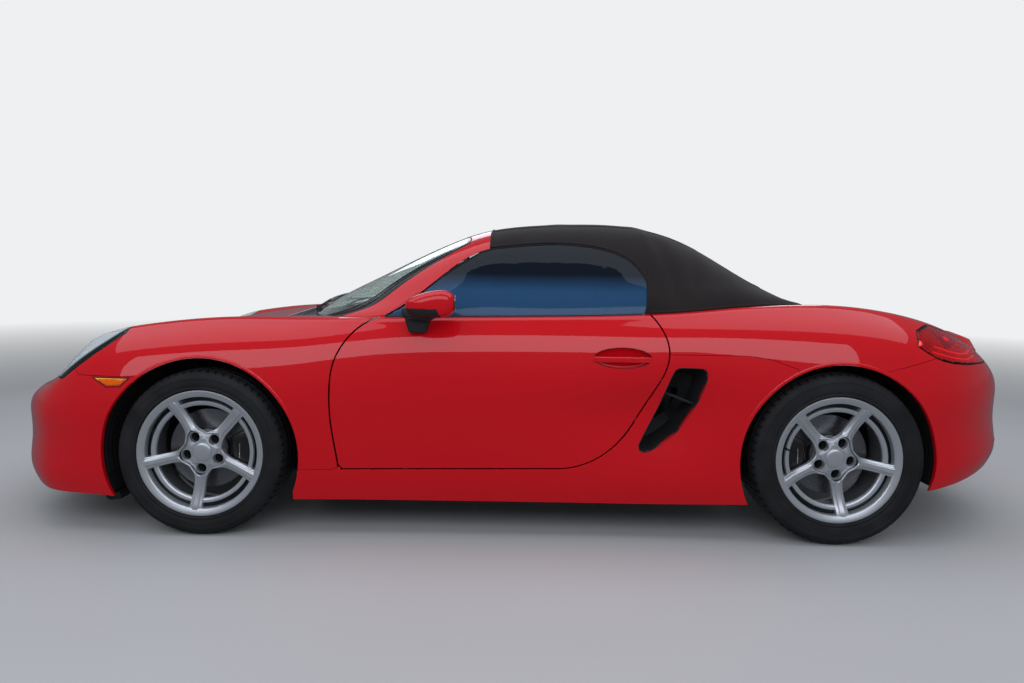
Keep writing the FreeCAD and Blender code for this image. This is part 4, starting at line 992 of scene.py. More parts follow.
def make_caliper(wheel):
    """Caliper over the disc with two round covers, a bleed screw and a bright spring."""
    front = wheel.hub.x < 0
    body = "knuckle_" + ("left" if wheel.side < 0 else "right") if front else "root"

    def at(radius, degrees, out):
        return wheel.about(radius, degrees, out, 1 if front else -1)

    rows = []
    outline = ((-29, 0.0), (-28, 0.8), (-22, 1.0), (-8, 1.0), (-5, 0.9), (5, 0.9), (8, 1.0),
               (22, 1.0), (28, 0.8), (29, 0.0))
    for degrees, full in outline:
        out = 0.788 + 0.0265 * (0.7 + 0.3 * full)
        outer = 180 + 14 * full
        inner = 110 - 9 * full
        rows.append([at(inner, degrees, 0.7835), at(inner, degrees, out - 0.004),
                     at(inner + 5, degrees, out), at(outer - 8, degrees, out),
                     at(outer, degrees, out - 0.007), at(outer + 3, degrees, 0.7835)])
    bm = lattice(rows, close_columns=True)
    ends_filled(bm)
    piece = added(wheel.name.replace("wheel", "caliper"), bm, "caliper", body, 50.0)
    smoothed(piece, 1)
    reshaded(piece, 50.0)
    caps = [(at(146, degrees, 0.800), at(146, degrees, 0.8160), 0.019, 28, 0.018)
            for degrees in (-14, 14)]
    screw = (at(184, 22, 0.796), at(197, 22, 0.796), 0.004, 12)
    rods(piece.name + "_caps", caps + [screw], "caliper", body)
    spring = (at(138, -12, 0.8155), at(138, 12, 0.8155), 0.0030, 10)
    rods(piece.name + "_spring", [spring], "chrome", body)


def make_wheels():
    for axle in ("front", "rear"):
        for side_name, side in SIDES:
            wheel = Wheel(axle, side_name, side)
            for make in (make_wheel_face, make_hub, make_rim, make_disc, make_tyre, make_caliper):
                make(wheel)


WINDOW_TOP = [(-560, 862), (-330, 1030), (-175, 1128), (-60, 1150), (120, 1164), (290, 1150),
              (412, 1108), (478, 1036), (492, 960), (470, 884)]
WINDOW_GAP = 7.0
SCREEN_PLAN = [(-975, 0), (-975, 560), (-900, 655), (-790, 690), (-640, 692), (-500, 652),
               (-330, 598), (-236, 552), (-262, 300), (-272, 0)]
REAR_GLASS_PLAN = [(760, 0), (768, 330), (800, 372), (1030, 392), (1068, 360), (1084, 0)]
ROOF_FRONT_X = -144
ROOF_REAR_X = 1290
ROOF_AXIS_Z = 0.80

# Creases of the cloth behind the side window, side view points, depth and half width, all in
# millimetres; a negative depth is a hollow.
FOLDS = (
    (((541, 1190), (587, 1076), (622, 915)), -6.0, 13.0),
    (((505, 1205), (540, 1070), (572, 930)), 4.0, 22.0),
    (((600, 1190), (636, 1080), (655, 960)), 4.0, 24.0),
    (((707, 1124), (697, 1014), (664, 902)), -5.0, 16.0),
    (((742, 1110), (736, 1010), (712, 915)), 3.5, 22.0),
    (((693, 1018), (780, 1006), (860, 1024)), -3.0, 15.0),
    (((690, 1010), (640, 985), (600, 990)), -2.0, 14.0),
)
# Roof bows under the cloth: place along the car, height of the ridge and half width.
BOWS = ((150, 2.0, 40.0), (500, 3.5, 34.0), (770, 3.0, 30.0))


def moved_side(points, amount):
    """Side view points moved sideways by amount, to the left of their run."""
    result = []
    for i, (x, z) in enumerate(points):
        x0, z0 = points[max(i - 1, 0)]
        x1, z1 = points[min(i + 1, len(points) - 1)]
        length = math.hypot(x1 - x0, z1 - z0)
        result.append((x - (z1 - z0) / length * amount, z + (x1 - x0) / length * amount))
    return result


def on_roof(x, angle):
    """Place and normal of the roof skin at a station, by the angle about the car's axis."""
    origin = Vector((x, 0, ROOF_AXIS_Z))
    toward = Vector((0, -math.cos(angle), math.sin(angle)))
    place, _, _, _ = roof_skin.tree.ray_cast(origin, toward)
    if place is None:
        place = origin + toward * 0.1
    return roof_skin.nearest(place)[:2]


def deck_height(x, y):
    """Height of the body's skin over a place in plan."""
    place, _, _, _ = body_skin.tree.ray_cast(Vector((x, y, 1.6)), Vector((0, 0, -1)))
    return place.z if place else 0.0


def belt_angle(x):
    """Angle at which the roof skin comes out of the body at a station."""
    low, high = 0.02, math.pi / 2
    for _ in range(24):
        middle = (low + high) / 2
        place, _ = on_roof(x, middle)
        if place.z > deck_height(x, place.y) + 0.001:
            high = middle
        else:
            low = middle
    return high


def roof_edge():
    """Lower edge of the cloth, front to rear, as (station, angle) pairs in metres and radians."""
    top = [p for p in dense(moved_side(WINDOW_TOP, WINDOW_GAP), 60) if p[0] > ROOF_FRONT_X]
    edge = []
    for place, _ in side_places([(ROOF_FRONT_X, top[0][1] - 2)] + top, -1, skin=roof_skin):
        edge.append((place.x, math.atan2(place.z - ROOF_AXIS_Z, -place.y)))
    start = top[-1][0] * MM
    for step in range(1, 40):
        x = start + (ROOF_REAR_X * MM - start) * step / 39
        edge.append((x, belt_angle(x)))
    return edge


def crease(x, z, fold):
    """How far one crease of the cloth reaches at a side view point, in millimetres."""
    points, depth, half = fold
    best = 0.0
    for (x0, z0), (x1, z1) in zip(points, points[1:]):
        dx, dz = x1 - x0, z1 - z0
        share = ((x - x0) * dx + (z - z0) * dz) / (dx * dx + dz * dz)
        share = min(1.0, max(0.0, share))
        away = math.hypot(x - x0 - share * dx, z - z0 - share * dz)
        best = max(best, math.exp(-(away / half) ** 2))
    return best * depth


def cloth_rise(place, middle):
    """How far the stretched cloth stands off the roof skin, in metres."""
    x, z = place.x * 1000, place.z * 1000
    rise = 0.0
    for bow, height, half in BOWS:
        rise += height * math.exp(-((x - bow) / half) ** 2) * min(1.0, middle * 2.2)
    if middle < 0.75:
        rise += sum(crease(x, z, fold) for fold in FOLDS) * min(1.0, (0.75 - middle) * 3)
    edge = min(1.0, middle * 14)
    return rise * edge * MM


def roof_sheet(name, depth, columns, folds, finish):
    """Cloth over the roof from the header to the deck, laid to the roof skin."""
    rows = []
    edge = roof_edge()
    for index, (edge_x, edge_angle) in enumerate(edge):
        share = index / (len(edge) - 1)
        top_x = (ROOF_FRONT_X + share * (ROOF_REAR_X - ROOF_FRONT_X)) * MM
        row = []
        for k in range(columns):
            t = k / (columns - 1)
            middle = 1 - abs(2 * t - 1)
            ease = middle ** 0.8
            x = edge_x + (top_x - edge_x) * ease
            angle = edge_angle + (math.pi / 2 - edge_angle) * middle
            if t > 0.5:
                angle = math.pi - angle
            place, normal = on_roof(x, angle)
            rise = cloth_rise(place, middle) if folds else 0.0
            row.append(place + normal * (depth + rise))
        rows.append(row)
    bm = lattice(rows)
    bmesh.ops.recalc_face_normals(bm, faces=bm.faces)
    if max(bm.faces, key=lambda f: f.calc_center_median().z).normal.z < 0:
        bmesh.ops.reverse_faces(bm, faces=bm.faces)
    return placed(name, bm, finish, "root", 60.0)


def both_halves(plan):
    """Closed plan outline from the half of it that starts and ends at the middle."""
    return plan + [(x, -y) for x, y in reversed(plan[1:-1])]


def rear_glass_cutter(grow):
    """Solid in the shape of the rear window, made larger by grow millimetres."""
    half = [(x, y + grow if y else 0) for x, y in REAR_GLASS_PLAN]
    half[0] = (half[0][0] - grow, 0)
    half[-1] = (half[-1][0] + grow, 0)
    cutter = bmesh.new()
    plate(cutter, [(x * MM, y * MM, 0.9) for x, y in both_halves(half)], (0, 0, 0.5))
    bmesh.ops.recalc_face_normals(cutter, faces=cutter.faces)
    return loose(cutter)


def plate(bm, corners, push):
    """Adds a solid made from a flat outline that is pushed out."""
    verts = [bm.verts.new(c) for c in corners]
    face = bmesh.ops.contextual_create(bm, geom=verts)["faces"]
    grown = bmesh.ops.extrude_face_region(bm, geom=face, use_keep_orig=True)
    moved = [v for v in grown["geom"] if isinstance(v, bmesh.types.BMVert)]
    bmesh.ops.translate(bm, vec=Vector(push), verts=moved)
    return bm


def make_soft_top():
    """Cloth and lining with the opening for the rear window, hems, seams and the window's seal."""
    cloth = roof_sheet("roof_cloth", -0.0002, 81, True, "canvas")
    thickened(cloth, 0.0022)
    carved(cloth, [rear_glass_cutter(-2.0)])
    reshaded(cloth, 50.0)
    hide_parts("soft_top")
    lining = roof_sheet("roof_lining", -0.020, 41, False, "lining")
    thickened(lining, 0.0015)
    carved(lining, [rear_glass_cutter(4.0)])
    reshaded(lining, 50.0)

    seal("roof_hem", roof_edge_places(0.0008), 5.0, 1.6, "canvas", low=-1.2)
    front = [(Vector((ROOF_FRONT_X * MM, p.y, p.z)), n) for p, n in front_places()]
    seal("roof_front_hem", front, 6.0, 2.2, "canvas", low=-1.5)
    for side_name, side in SIDES:
        seam = plan_places(dense([(-140, 452), (60, 446), (300, 442), (520, 420), (700, 392),
                                  (768, 372)], 60), side, 0.0010, roof_skin)
        seal("roof_seam_" + side_name, seam, 8.0, 1.8, "canvas")
    ring = plan_places(dense(both_halves(REAR_GLASS_PLAN), 90, True), 1, skin=roof_skin)
    seal("rear_window_seal", ring, 7.0, 2.0, "seal", closed=True, low=-5.0)


def roof_edge_places(depth):
    """Lower edge of the cloth on both sides, rear middle included, as places and normals."""
    left = []
    for x, angle in roof_edge():
        place, normal = on_roof(x, angle + 0.006)
        left.append((place + normal * depth, normal))
    flip = Matrix.Diagonal((1, -1, 1))
    return left + [(flip @ place, flip @ normal) for place, normal in reversed(left)]


def front_places():
    """Front edge of the cloth from side to side, as places and normals."""
    x, start = roof_edge()[0]
    result = []
    for k in range(41):
        angle = start + (math.pi - 2 * start) * k / 40
        place, normal = on_roof(x + 0.004, angle)
        result.append((place + normal * 0.0004, normal))
    return result


def pane(node, body, finish):
    """Copy of a glass node with the skin's normals, so that reflections run smoothly."""
    bm = merged_copy(node)
    split_long_edges(bm, 0.06, 4)
    piece = placed(node + "_pane", bm, finish, body, 40.0)
    custom = []
    for polygon in piece.data.polygons:
        for vertex in polygon.vertices:
            _, normal, distance = roof_skin.nearest(piece.data.vertices[vertex].co)
            facing = normal.dot(polygon.normal)
            if distance < 0.016 and abs(facing) > 0.8:
                custom.append(normal if facing > 0 else -normal)
            else:
                custom.append(Vector((0, 0, 0)))
    piece.data.normals_split_custom_set(custom)
    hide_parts(node)


def make_glass():
    """Windows with the seals round them and the dark border of the windscreen."""
    pane("windscreen", "root", "screen")
    pane("rear_window", "root", "glass")
    for side_name, side in SIDES:
        door = "door_" + side_name
        pane("door_glass_" + side_name, door, "glass")
        top = dense(moved_side(WINDOW_TOP, 3.6), 90)
        lip = side_places(top, side, -0.001, roof_skin)
        seal("window_seal_" + side_name, lip, 4.2, 1.2, "seal", low=-8.0)
        places = []
        for x in range(-556, 474, 20):
            z = 0.8
            for _ in range(3):
                origin = Vector((x * MM, side * 1.5, z))
                place = roof_skin.tree.ray_cast(origin, Vector((0, -side, 0)))[0]
                z = deck_height(x * MM, place.y) + 0.0015
            place.z = z
            places.append((place + Vector((0, side * 0.004, -0.001)), Vector((0, side * 0.5, 0.87))))
        seal("belt_seal_" + side_name, places, 6.5, 3.6, "seal", door, low=-4.0)

        rim = plan_places(dense([(-880, 674), (-790, 702), (-640, 704), (-500, 665), (-330, 611),
                                 (-240, 566)], 60), side, 0.0004, roof_skin)
        seal("screen_rim_" + side_name, rim, 13.0, 0.8, "gloss_black")

    path = both_halves(SCREEN_PLAN)
    ring = plan_places(dense(path, 160, True), 1, skin=roof_skin)
    seal("screen_seal", ring, 6.0, 0.9, "seal", closed=True, low=-4.0)
    inner = [(x + (-634 - x) * 0.02, y * 0.98) for x, y in path]
    border = plan_places(dense(inner, 160, True), 1, -0.0012, roof_skin)
    seal("screen_border", border, 9.0, 0.25, "gloss_black", closed=True, low=-0.1)


LENS_REACH = 0.0013


def outer_faces(node):
    """The outer face of a lamp's node, laid on the smooth skin, without its sides and back."""
    bm = merged_copy(node)
    split_long_edges(bm, 0.03, 6)
    near = set()
    for vert in bm.verts:
        place, _, distance = body_skin.nearest(vert.co)
        if distance < LENS_REACH:
            vert.co = place
            near.add(vert)
    inner = [f for f in bm.faces if not all(v in near for v in f.verts)]
    bmesh.ops.delete(bm, geom=inner, context="FACES")
    steep = []
    for face in bm.faces:
        normal = body_skin.nearest(face.calc_center_median())[1]
        if abs(normal.dot(face.normal)) < 0.6:
            steep.append(face)
    bmesh.ops.delete(bm, geom=steep, context="FACES")
    return bm


def sunk(bm, depth, verts=None):
    """Moves the vertices, or else all of the bmesh, inward from the skin by depth metres."""
    for vert in verts or bm.verts:
        _, normal, _ = body_skin.nearest(vert.co)
        vert.co -= normal * depth
    return bm


def walled(bm, depth):
    """Adds a wall from the open edge of a surface down into the body."""
    rim = [e for e in bm.edges if e.is_boundary]
    grown = bmesh.ops.extrude_edge_only(bm, edges=rim)
    return sunk(bm, depth, [v for v in grown["geom"] if isinstance(v, bmesh.types.BMVert)])


def facing_out(piece):
    """Turns the faces of a lens that point inward."""
    bm = bmesh.new()
    bm.from_mesh(piece.data)
    turned = [f for f in bm.faces if body_skin.nearest(f.calc_center_median())[1].dot(f.normal) < 0]
    bmesh.ops.reverse_faces(bm, faces=turned)
    bm.to_mesh(piece.data)
    bm.free()


def patch(name, corners, side, counts, depths, finish, angle=40.0):
    """Small raised patch on the body between four side view corners, in millimetres."""
    a, b, c, d = (Vector((*p, 0)) for p in corners)
    across, up = counts
    rows = []
    for i in range(up + 1):
        start, end = d.lerp(a, i / up), c.lerp(b, i / up)
        points = [start.lerp(end, k / across) for k in range(across + 1)]
        row = []
        for k, (place, normal) in enumerate(side_places([(p.x, p.y) for p in points], side)):
            edge = i in (0, up) or k in (0, across)
            row.append(place + normal * (depths[0] if edge else depths[1]) * MM)
        rows.append(row)
    return added(name, lattice(rows), finish, smooth_angle=angle)


LENS_T = 0.0025
BOWL_T = 0.001


def make_lens(node, finish):
    """Thin lens in place of the lamp's solid node."""
    lens = placed(node + "_lens", outer_faces(node), finish, "root", 60.0)
    facing_out(lens)
    thickened(lens, LENS_T)
    reshaded(lens, 60.0)
    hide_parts(node)


def make_bowl(node, bm, finish):
    """Reflecting surface behind a lens."""
    bowl = added(node + "_bowl", bm, finish, smooth_angle=40.0)
    thickened(bowl, BOWL_T)
    reshaded(bowl, 40.0)


def make_gasket(name, node, count, half_width, height):
    """Black line round a lens."""
    bm = outer_faces(node)
    loop = boundary_path(bm)
    bm.free()
    ring = [(p, body_skin.nearest(p)[1]) for p in spline(loop, count, True)]
    seal(name, ring, half_width, height, "seal", closed=True, low=-3.0)


def make_head_lamps():
    """Clear lenses over pale bowls with two projectors, a light bar and a gasket."""
    for side_name, side in SIDES:
        node = "headlamp_" + side_name
        make_lens(node, "lamp_glass")
        bowl = sunk(outer_faces(node), 0.030)
        wall = sunk(outer_faces(node), 0.0035)
        walled(wall, 0.028)
        bmesh.ops.delete(wall, geom=[f for f in wall.faces if all(
            body_skin.nearest(v.co)[2] < 0.010 for v in f.verts)], context="FACES")
        make_bowl(node, merged_into(bowl, wall), "lamp_bowl")

        lamps = bmesh.new()
        rings = bmesh.new()
        ahead = Vector((-0.93, side * 0.2, 0.12)).normalized()
        turn = Vector((0, 0, 1)).rotation_difference(ahead).to_matrix().to_4x4()
        for x, y, radius in ((-1722, 700, 0.026), (-1812, 684, 0.024)):
            back = plan_places([(x, y)], side, -0.016)[0][0] - ahead * 0.012
            bmesh.ops.create_uvsphere(lamps, u_segments=32, v_segments=16, radius=radius,
                                      matrix=Matrix.Translation(back - ahead * radius * 0.55) @ turn)
            for k, grow in enumerate((1.0, 1.12, 1.25)):
                rod(rings, back - ahead * radius * 1.6, back - ahead * radius * (0.5 + 0.25 * k),
                    radius * grow, 40)
        added(node + "_projectors", lamps, "projector", smooth_angle=60.0)
        added(node + "_rings", rings, "alloy", smooth_angle=35.0)

        low = [(-1790, 628), (-1762, 650), (-1709, 692), (-1643, 744), (-1592, 786)]
        bar = side_places([(x - 14, z + 44) for x, z in dense(low, 30)], side, -0.024)
        seal(node + "_light_bar", bar, 5.0, 3.0, "light_bar", low=-6.0)
        make_gasket(node + "_gasket", node, 160, 1.6, 0.5)


def make_markers():
    """Amber side markers under the head lamps, with pale facets and a dark outline."""
    corners = ((-1674, 616), (-1523, 616), (-1557, 583), (-1613, 580))
    inner = ((-1665, 613), (-1532, 613), (-1560, 588), (-1610, 586))
    path = []
    for (x0, z0), (x1, z1) in zip(corners, corners[1:] + corners[:1]):
        path += [(x0 + (x1 - x0) * k / 8, z0 + (z1 - z0) * k / 8) for k in range(8)]
    for side_name, side in SIDES:
        patch("marker_" + side_name, corners, side, (10, 2), (-0.5, 2.2), "amber", 20.0)
        patch("marker_bulb_" + side_name, inner, side, (14, 4), (0.0, 0.7), "amber_core", 5.0)
        ring = side_places(path, side)
        seal("marker_rim_" + side_name, ring, 2.2, 1.3, "seal", closed=True)


def make_tail_lamps():
    """Red lenses over a shiny red bowl with reflectors, light guides and a black gasket."""
    patches = (
        ("tail_side_", ((1526, 826), (1640, 846), (1668, 790), (1548, 768)), "red_core"),
        ("tail_clear_", ((1662, 838), (1742, 836), (1752, 790), (1680, 772)), "tail_patch"),
        ("tail_stop_", ((1688, 826), (1728, 820), (1742, 796), (1700, 794)), "glow_red"),
    )
    for side_name, side in SIDES:
        node = "tail_lamp_" + side_name
        make_lens(node, "red_lens")
        make_bowl(node, sunk(outer_faces(node), 0.014), "tail_bowl")
        for name, corners, finish in patches:
            smoothed(patch(name + side_name, corners, side, (8, 6), (-13.0, -9.5), finish), 1)
        place, normal = side_places([(1545, 795)], side, -0.008)[0]
        spot = (place, place + normal * 0.003, 0.0095, 24)
        rods("tail_spot_" + side_name, [spot], "glow_warm", "root", 40.0)
        for k, offset in enumerate((0.0, 22.0)):
            guide = [(1600 + k * 14, 762 + offset), (1700, 738 + offset), (1790, 728 + offset),
                     (1862 - k * 8, 738 + offset)]
            places = side_places(dense(guide, 30), side, -0.011)
            seal("tail_guide_%s_%d" % (side_name, k), places, 3.2, 2.6, "glow_red", low=-2.0)
        make_gasket("tail_gasket_" + side_name, node, 140, 1.3, 0.4)


def boundary_path(bm):
    """Corners of the longest open edge loop, in order."""
    edges = dict.fromkeys(e for e in bm.edges if e.is_boundary)
    best = []
    while edges:
        edge, _ = edges.popitem()
        start, here = edge.verts
        loop = [start.co.copy(), here.co.copy()]
        while here != start:
            following = [e for e in here.link_edges if e in edges]
            if not following:
                break
            edges.pop(following[0])
            here = following[0].other_vert(here)
            loop.append(here.co.copy())
        if len(loop) > len(best):
            best = loop
    return best[:-1]


INTAKE = [(600, 688), (680, 686), (694, 676), (698, 648), (667, 548), (597, 435), (500, 362),
          (470, 352), (450, 360), (447, 380), (462, 412), (519, 527), (561, 649), (578, 682)]


def make_intakes():
    """Black duct behind each side opening, with a slim rim and a vane across it."""
    middle_x = sum(x for x, _ in INTAKE) / len(INTAKE) * MM
    middle_z = sum(z for _, z in INTAKE) / len(INTAKE) * MM
    path = dense(INTAKE, 72, True)
    for side_name, side in SIDES:
        rim = side_places(path, side)
        rings = []
        for shrink, depth in ((0.0, 0.0003), (0.010, -0.010), (0.03, -0.022), (0.06, -0.060),
                              (0.22, -0.125), (0.6, -0.150)):
            rings.append([Vector((p.x + (middle_x - p.x) * shrink, p.y + side * depth,
                                  p.z + (middle_z - p.z) * shrink)) for p, _ in rim])
        bm = lattice(rings, close_columns=True)
        bmesh.ops.holes_fill(bm, edges=[e for e in bm.edges if e.is_boundary
                                        and abs(e.verts[0].co.y) < 0.74])
        duct = added("intake_duct_" + side_name, bm, "liner", "root", 40.0)
        thickened(duct, 0.0015, 1.0)
        reshaded(duct, 40.0)
        seal("intake_rim_" + side_name, rim, 4.0, 0.8, "liner", closed=True, low=-8.0)
        vane = bmesh.new()
        ends = [p for p, _ in side_places([(545, 590), (664, 545)], side)]
        front, back = (Vector((0, -side * depth, 0)) for depth in (0.030, 0.085))
        plate(vane, [ends[0] + front, ends[1] + front, ends[1] + back, ends[0] + back],
              Vector((0.004, 0, -0.012)))
        eased("intake_vanes_" + side_name, vane, "plastic", "root", 0.002, 2, 40.0)


def make_handles():
    """Dark line round the oval hollow of each door handle, and the lock."""
    for side_name, side in SIDES:
        door = "door_" + side_name
        oval = [(374 + 111 * math.cos(a), 722 + 40 * math.sin(a)) for a in around(64)]
        ring = side_places(oval, side)
        seal("handle_line_" + side_name, ring, 1.3, 0.5, "seal", door, closed=True, low=-2.0)
        place, normal = side_places([(478, 745)], side, -0.020)[0]
        lock = (place, place + normal * 0.008, 0.008, 24)
        rods("door_lock_" + side_name, [lock], "steel", door)


# Rings of the mirror housing from the door outward: distance from the middle of the car, place
# along it, height, half length and half height, all in millimetres.
MIRROR = ((842, -364, 908, 30, 20), (849, -363, 912, 62, 36), (864, -361, 918, 82, 47),
          (892, -360, 922, 93, 54), (930, -360, 924, 97, 56.5), (958, -358, 925, 92, 54),
          (976, -357, 925, 74, 44), (985, -356, 925, 44, 27), (987, -356, 925, 12, 8))
MIRROR_BACK_X = -266


def mirror_ring(side, y, x, z, half_length, half_height):
    """Ring with round corners, lower toward the rear and cut flat for the glass."""
    ring = []
    for angle in around(28):
        px = x + half_length * squared(math.cos(angle))
        pz = z + half_height * squared(math.sin(angle), 0.74)
        if math.sin(angle) > 0:
            share = (x + half_length - px) / (2 * half_length)
            pz = z + (pz - z) * (1 - 0.72 * share ** 2)
        ring.append(Vector((min(px, MIRROR_BACK_X), side * y, pz)) * MM)
    return ring


def side_corners(points, y):
    """Flat outline at one distance from the middle from side view points in millimetres."""
    return [Vector((x * MM, y, z * MM)) for x, z in points]


def make_mirrors():
    """Rounded mirror housing with a black lower shell, arm, foot and glass."""
    for side_name, side in SIDES:
        door = "door_" + side_name
        bm = lattice([mirror_ring(side, *row) for row in MIRROR], close_columns=True)
        ends_filled(bm)
        shell = added("mirror_shell_" + side_name, bm, ("paint", "plastic"), door, 60.0)
        smoothed(shell, 2)
        for polygon in shell.data.polygons:
            x, _, z = polygon.center
            if x > -0.2685 or z < min(0.905, 0.872 - (x + 0.318) * 2.2):
                polygon.material_index = 1
        reshaded(shell, 60.0)
        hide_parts("mirror_" + side_name)

        glass = bmesh.new()
        plate(glass, [Vector((-0.2665, side * (0.918 + 0.040 * squared(math.cos(a))),
                              0.925 + 0.034 * squared(math.sin(a)))) for a in around(36)],
              Vector((0.0008, 0, 0)))
        added("mirror_glass_" + side_name, glass, "mirror", door, 35.0)

        arm = bmesh.new()
        plate(arm, side_corners(((-470, 868), (-360, 856), (-336, 876), (-340, 902), (-470, 905)),
                                side * 0.848), Vector((0, side * 0.085, 0)))
        plate(arm, side_corners(((-450, 806), (-382, 806), (-362, 872), (-470, 872)),
                                side * 0.846), Vector((0, side * 0.032, 0)))
        eased("mirror_arm_" + side_name, arm, "plastic", door, 0.010, 4, 30.0)
        ends = side_corners(((-460, 862), (-372, 862)), side * 0.8785)
        rods("mirror_line_" + side_name, [(*ends, 0.0012, 8)], "chrome", door)


def make_cowl():
    """Slots in the black panel under the windscreen and two parked wipers."""
    slots = bmesh.new()
    for k in range(24):
        y = -0.52 + 1.04 * k / 23
        place, _ = plan_places([(-958 + 22 * (abs(y) / 0.5) ** 2, abs(y) * 1000)],
                               -1 if y < 0 else 1, 0.0003)[0]
        block(slots, (place.x - 0.022, y - 0.013, place.z - 0.004),
              (place.x + 0.022, y + 0.013, place.z + 0.0012))
    eased("cowl_slots", slots, "gloss_black", "root", 0.002, 1, 40.0)
    for name, start, end in (("left", (-905, -360), (-868, 300)), ("right", (-905, 180), (-800, 610))):
        path = [(start[0] + (end[0] - start[0]) * k / 30,
                 start[1] + (end[1] - start[1]) * k / 30) for k in range(31)]
        blade = []
        for x, y in path:
            place, normal = plan_places([(x, abs(y))], -1 if y < 0 else 1, skin=roof_skin)[0]
            blade.append((place + normal * 0.0035, normal))
        seal("wiper_blade_" + name, blade, 4.0, 6.0, "seal", low=-3.5)
        spine = [(p + n * 0.008, n) for p, n in blade]
        seal("wiper_arm_" + name, spine[3:19], 5.5, 5.0, "plastic")
        x, y = start
        base = plan_places([(x - 32, abs(y))], -1 if y < 0 else 1)[0][0]
        up = Vector((0, 0, 1))
        pivot = ((base - up * 0.01, base + up * 0.022, 0.013, 24, 0.011),
                 (base + up * 0.014, spine[4][0], 0.006, 12))
        rods("wiper_pivot_" + name, pivot, "plastic", "root", 40.0)


ARCH_LIP_R = 390
ARCH_LIP_DROP = 12
ARCH_LINER_R = 391


def make_arches():
    """Painted lip round each wheel opening, a ribbed black liner inside it and an air flap."""
    for axle, centre in (("front", FRONT_AXLE), ("rear", REAR_AXLE)):
        path = []
        for k in range(97):
            angle = math.radians(-4 + 192 * k / 96)
            path.append((centre.x * 1000 + ARCH_LIP_R * math.cos(angle),
                         centre.z * 1000 - ARCH_LIP_DROP + ARCH_LIP_R * math.sin(angle)))
        for side_name, side in SIDES:
            name = axle + "_" + side_name
            lip = side_places(path, side)
            seal("arch_lip_" + name, lip, 6.0, 2.0, "paint")
            rows = []
            for k in range(121):
                angle = math.radians(-14 + 208 * k / 120)
                row = []
                for j in range(45):
                    reach = (ARCH_LINER_R + (2.5 if j % 4 in (1, 2) else 0.0)) * MM
                    row.append(Vector((centre.x + reach * math.cos(angle),
                                       side * (0.835 - 0.30 * j / 44),
                                       centre.z + reach * math.sin(angle))))
                rows.append(row)
            added("arch_liner_" + name, lattice(rows), "liner", "root", 25.0)
    outline = ((-1652, 150), (-1600, 150), (-1592, 124), (-1640, 118), (-1656, 132))
    for side_name, side in SIDES:
        flap = bmesh.new()
        plate(flap, side_corners(outline, side * 0.60), (0, side * 0.215, 0))
        eased("air_deflector_" + side_name, flap, "seal", "root", 0.003)


def make_bumper_details():
    """Slats and lamps in the front bumper's openings, exhaust tip and rear reflectors."""
    slats = bmesh.new()
    for k in range(6):
        z = 0.262 + 0.0125 * k
        block(slats, (-2.150, -0.325, z), (-2.135, 0.325, z + 0.004))
    for k in range(9):
        y = -0.28 + 0.07 * k
        block(slats, (-2.146, y - 0.002, 0.256), (-2.136, y + 0.002, 0.334))
    for _, side in SIDES:
        for k in range(6):
            z = 0.256 + 0.0125 * k
            block(slats, (-2.085, side * 0.392, z), (-2.072, side * 0.540, z + 0.004))
    eased("front_slats", slats, "plastic", "root", 0.0012, 1, 40.0)
    backs = bmesh.new()
    block(backs, (-2.128, -0.335, 0.250), (-2.124, 0.335, 0.340))
    lamps = bmesh.new()
    for _, side in SIDES:
        block(backs, (-2.064, side * 0.384, 0.242), (-2.060, side * 0.550, 0.356))
        block(lamps, (-2.092, side * 0.400, 0.336), (-2.070, side * 0.530, 0.347))
    added("front_duct_backs", backs, "liner")
    eased("front_day_lamps", lamps, "light_bar", "root", 0.004, 3, 40.0)
    rods("tow_cover", [((-2.118, 0.420, 0.395), (-2.150, 0.420, 0.395), 0.0142, 32)], "paint",
         "root")

    tip = revolved(((0.0470, 2.060), (0.0480, 2.176), (0.0500, 2.1835), (0.0535, 2.1860),
                    (0.0575, 2.1845), (0.0590, 2.178), (0.0590, 2.070), (0.0530, 2.060)),
                   Vector((0, 0, 0.300)), 64, axis="X", closed=False)
    added("exhaust_tip", tip, "chrome", "root", 45.0)
    reflector = ((1958, 372), (2036, 372), (2036, 352), (1958, 352))
    for side_name, side in SIDES:
        patch("rear_reflector_" + side_name, reflector, side, (8, 3), (-0.3, 1.8), "red_core")


def make_lid_details():
    """Third brake lamp on the rear lid, fuel flap line on the right fender."""
    strip = [(1402, y) for y in range(0, 150, 10)]
    left = plan_places(strip[1:], -1)
    lamp = list(reversed(left)) + plan_places(strip, 1)
    seal("third_lamp", lamp, 6.0, 1.6, "red_core", "rear_lid")
    flap = [(-1120 + 78 * squared(math.cos(a)), 762 + 62 * squared(math.sin(a))) for a in around(64)]
    ring = side_places(flap, 1)
    seal("fuel_flap_line", ring, 1.2, 0.25, "seal", closed=True, low=-2.0)


def pad(name, rings, finish, body, levels=2):
    """Stuffed piece grown from a few closed rings, with round ends."""
    bm = lattice(rings, close_columns=True)
    ends_filled(bm)
    piece = added(name, bm, finish, body, 80.0)
    smoothed(piece, levels)
    return piece


def tube(name, points, radius, count, finish, body, sides=10):
    """Round pipe or piping along a smooth path of places in metres."""
    path = spline(points, count)
    rows = []
    for i, place in enumerate(path):
        ahead, behind = beside(path, i, False)
        along = (ahead - behind).normalized()
        first = along.cross(Vector((0.05, 0.1, 1.0))).normalized()
        second = along.cross(first)
        rows.append([place + (first * math.cos(a) + second * math.sin(a)) * radius
                     for a in around(sides)])
    bm = lattice(rows, close_columns=True)
    ends_filled(bm)
    return added(name, bm, finish, body, 60.0)


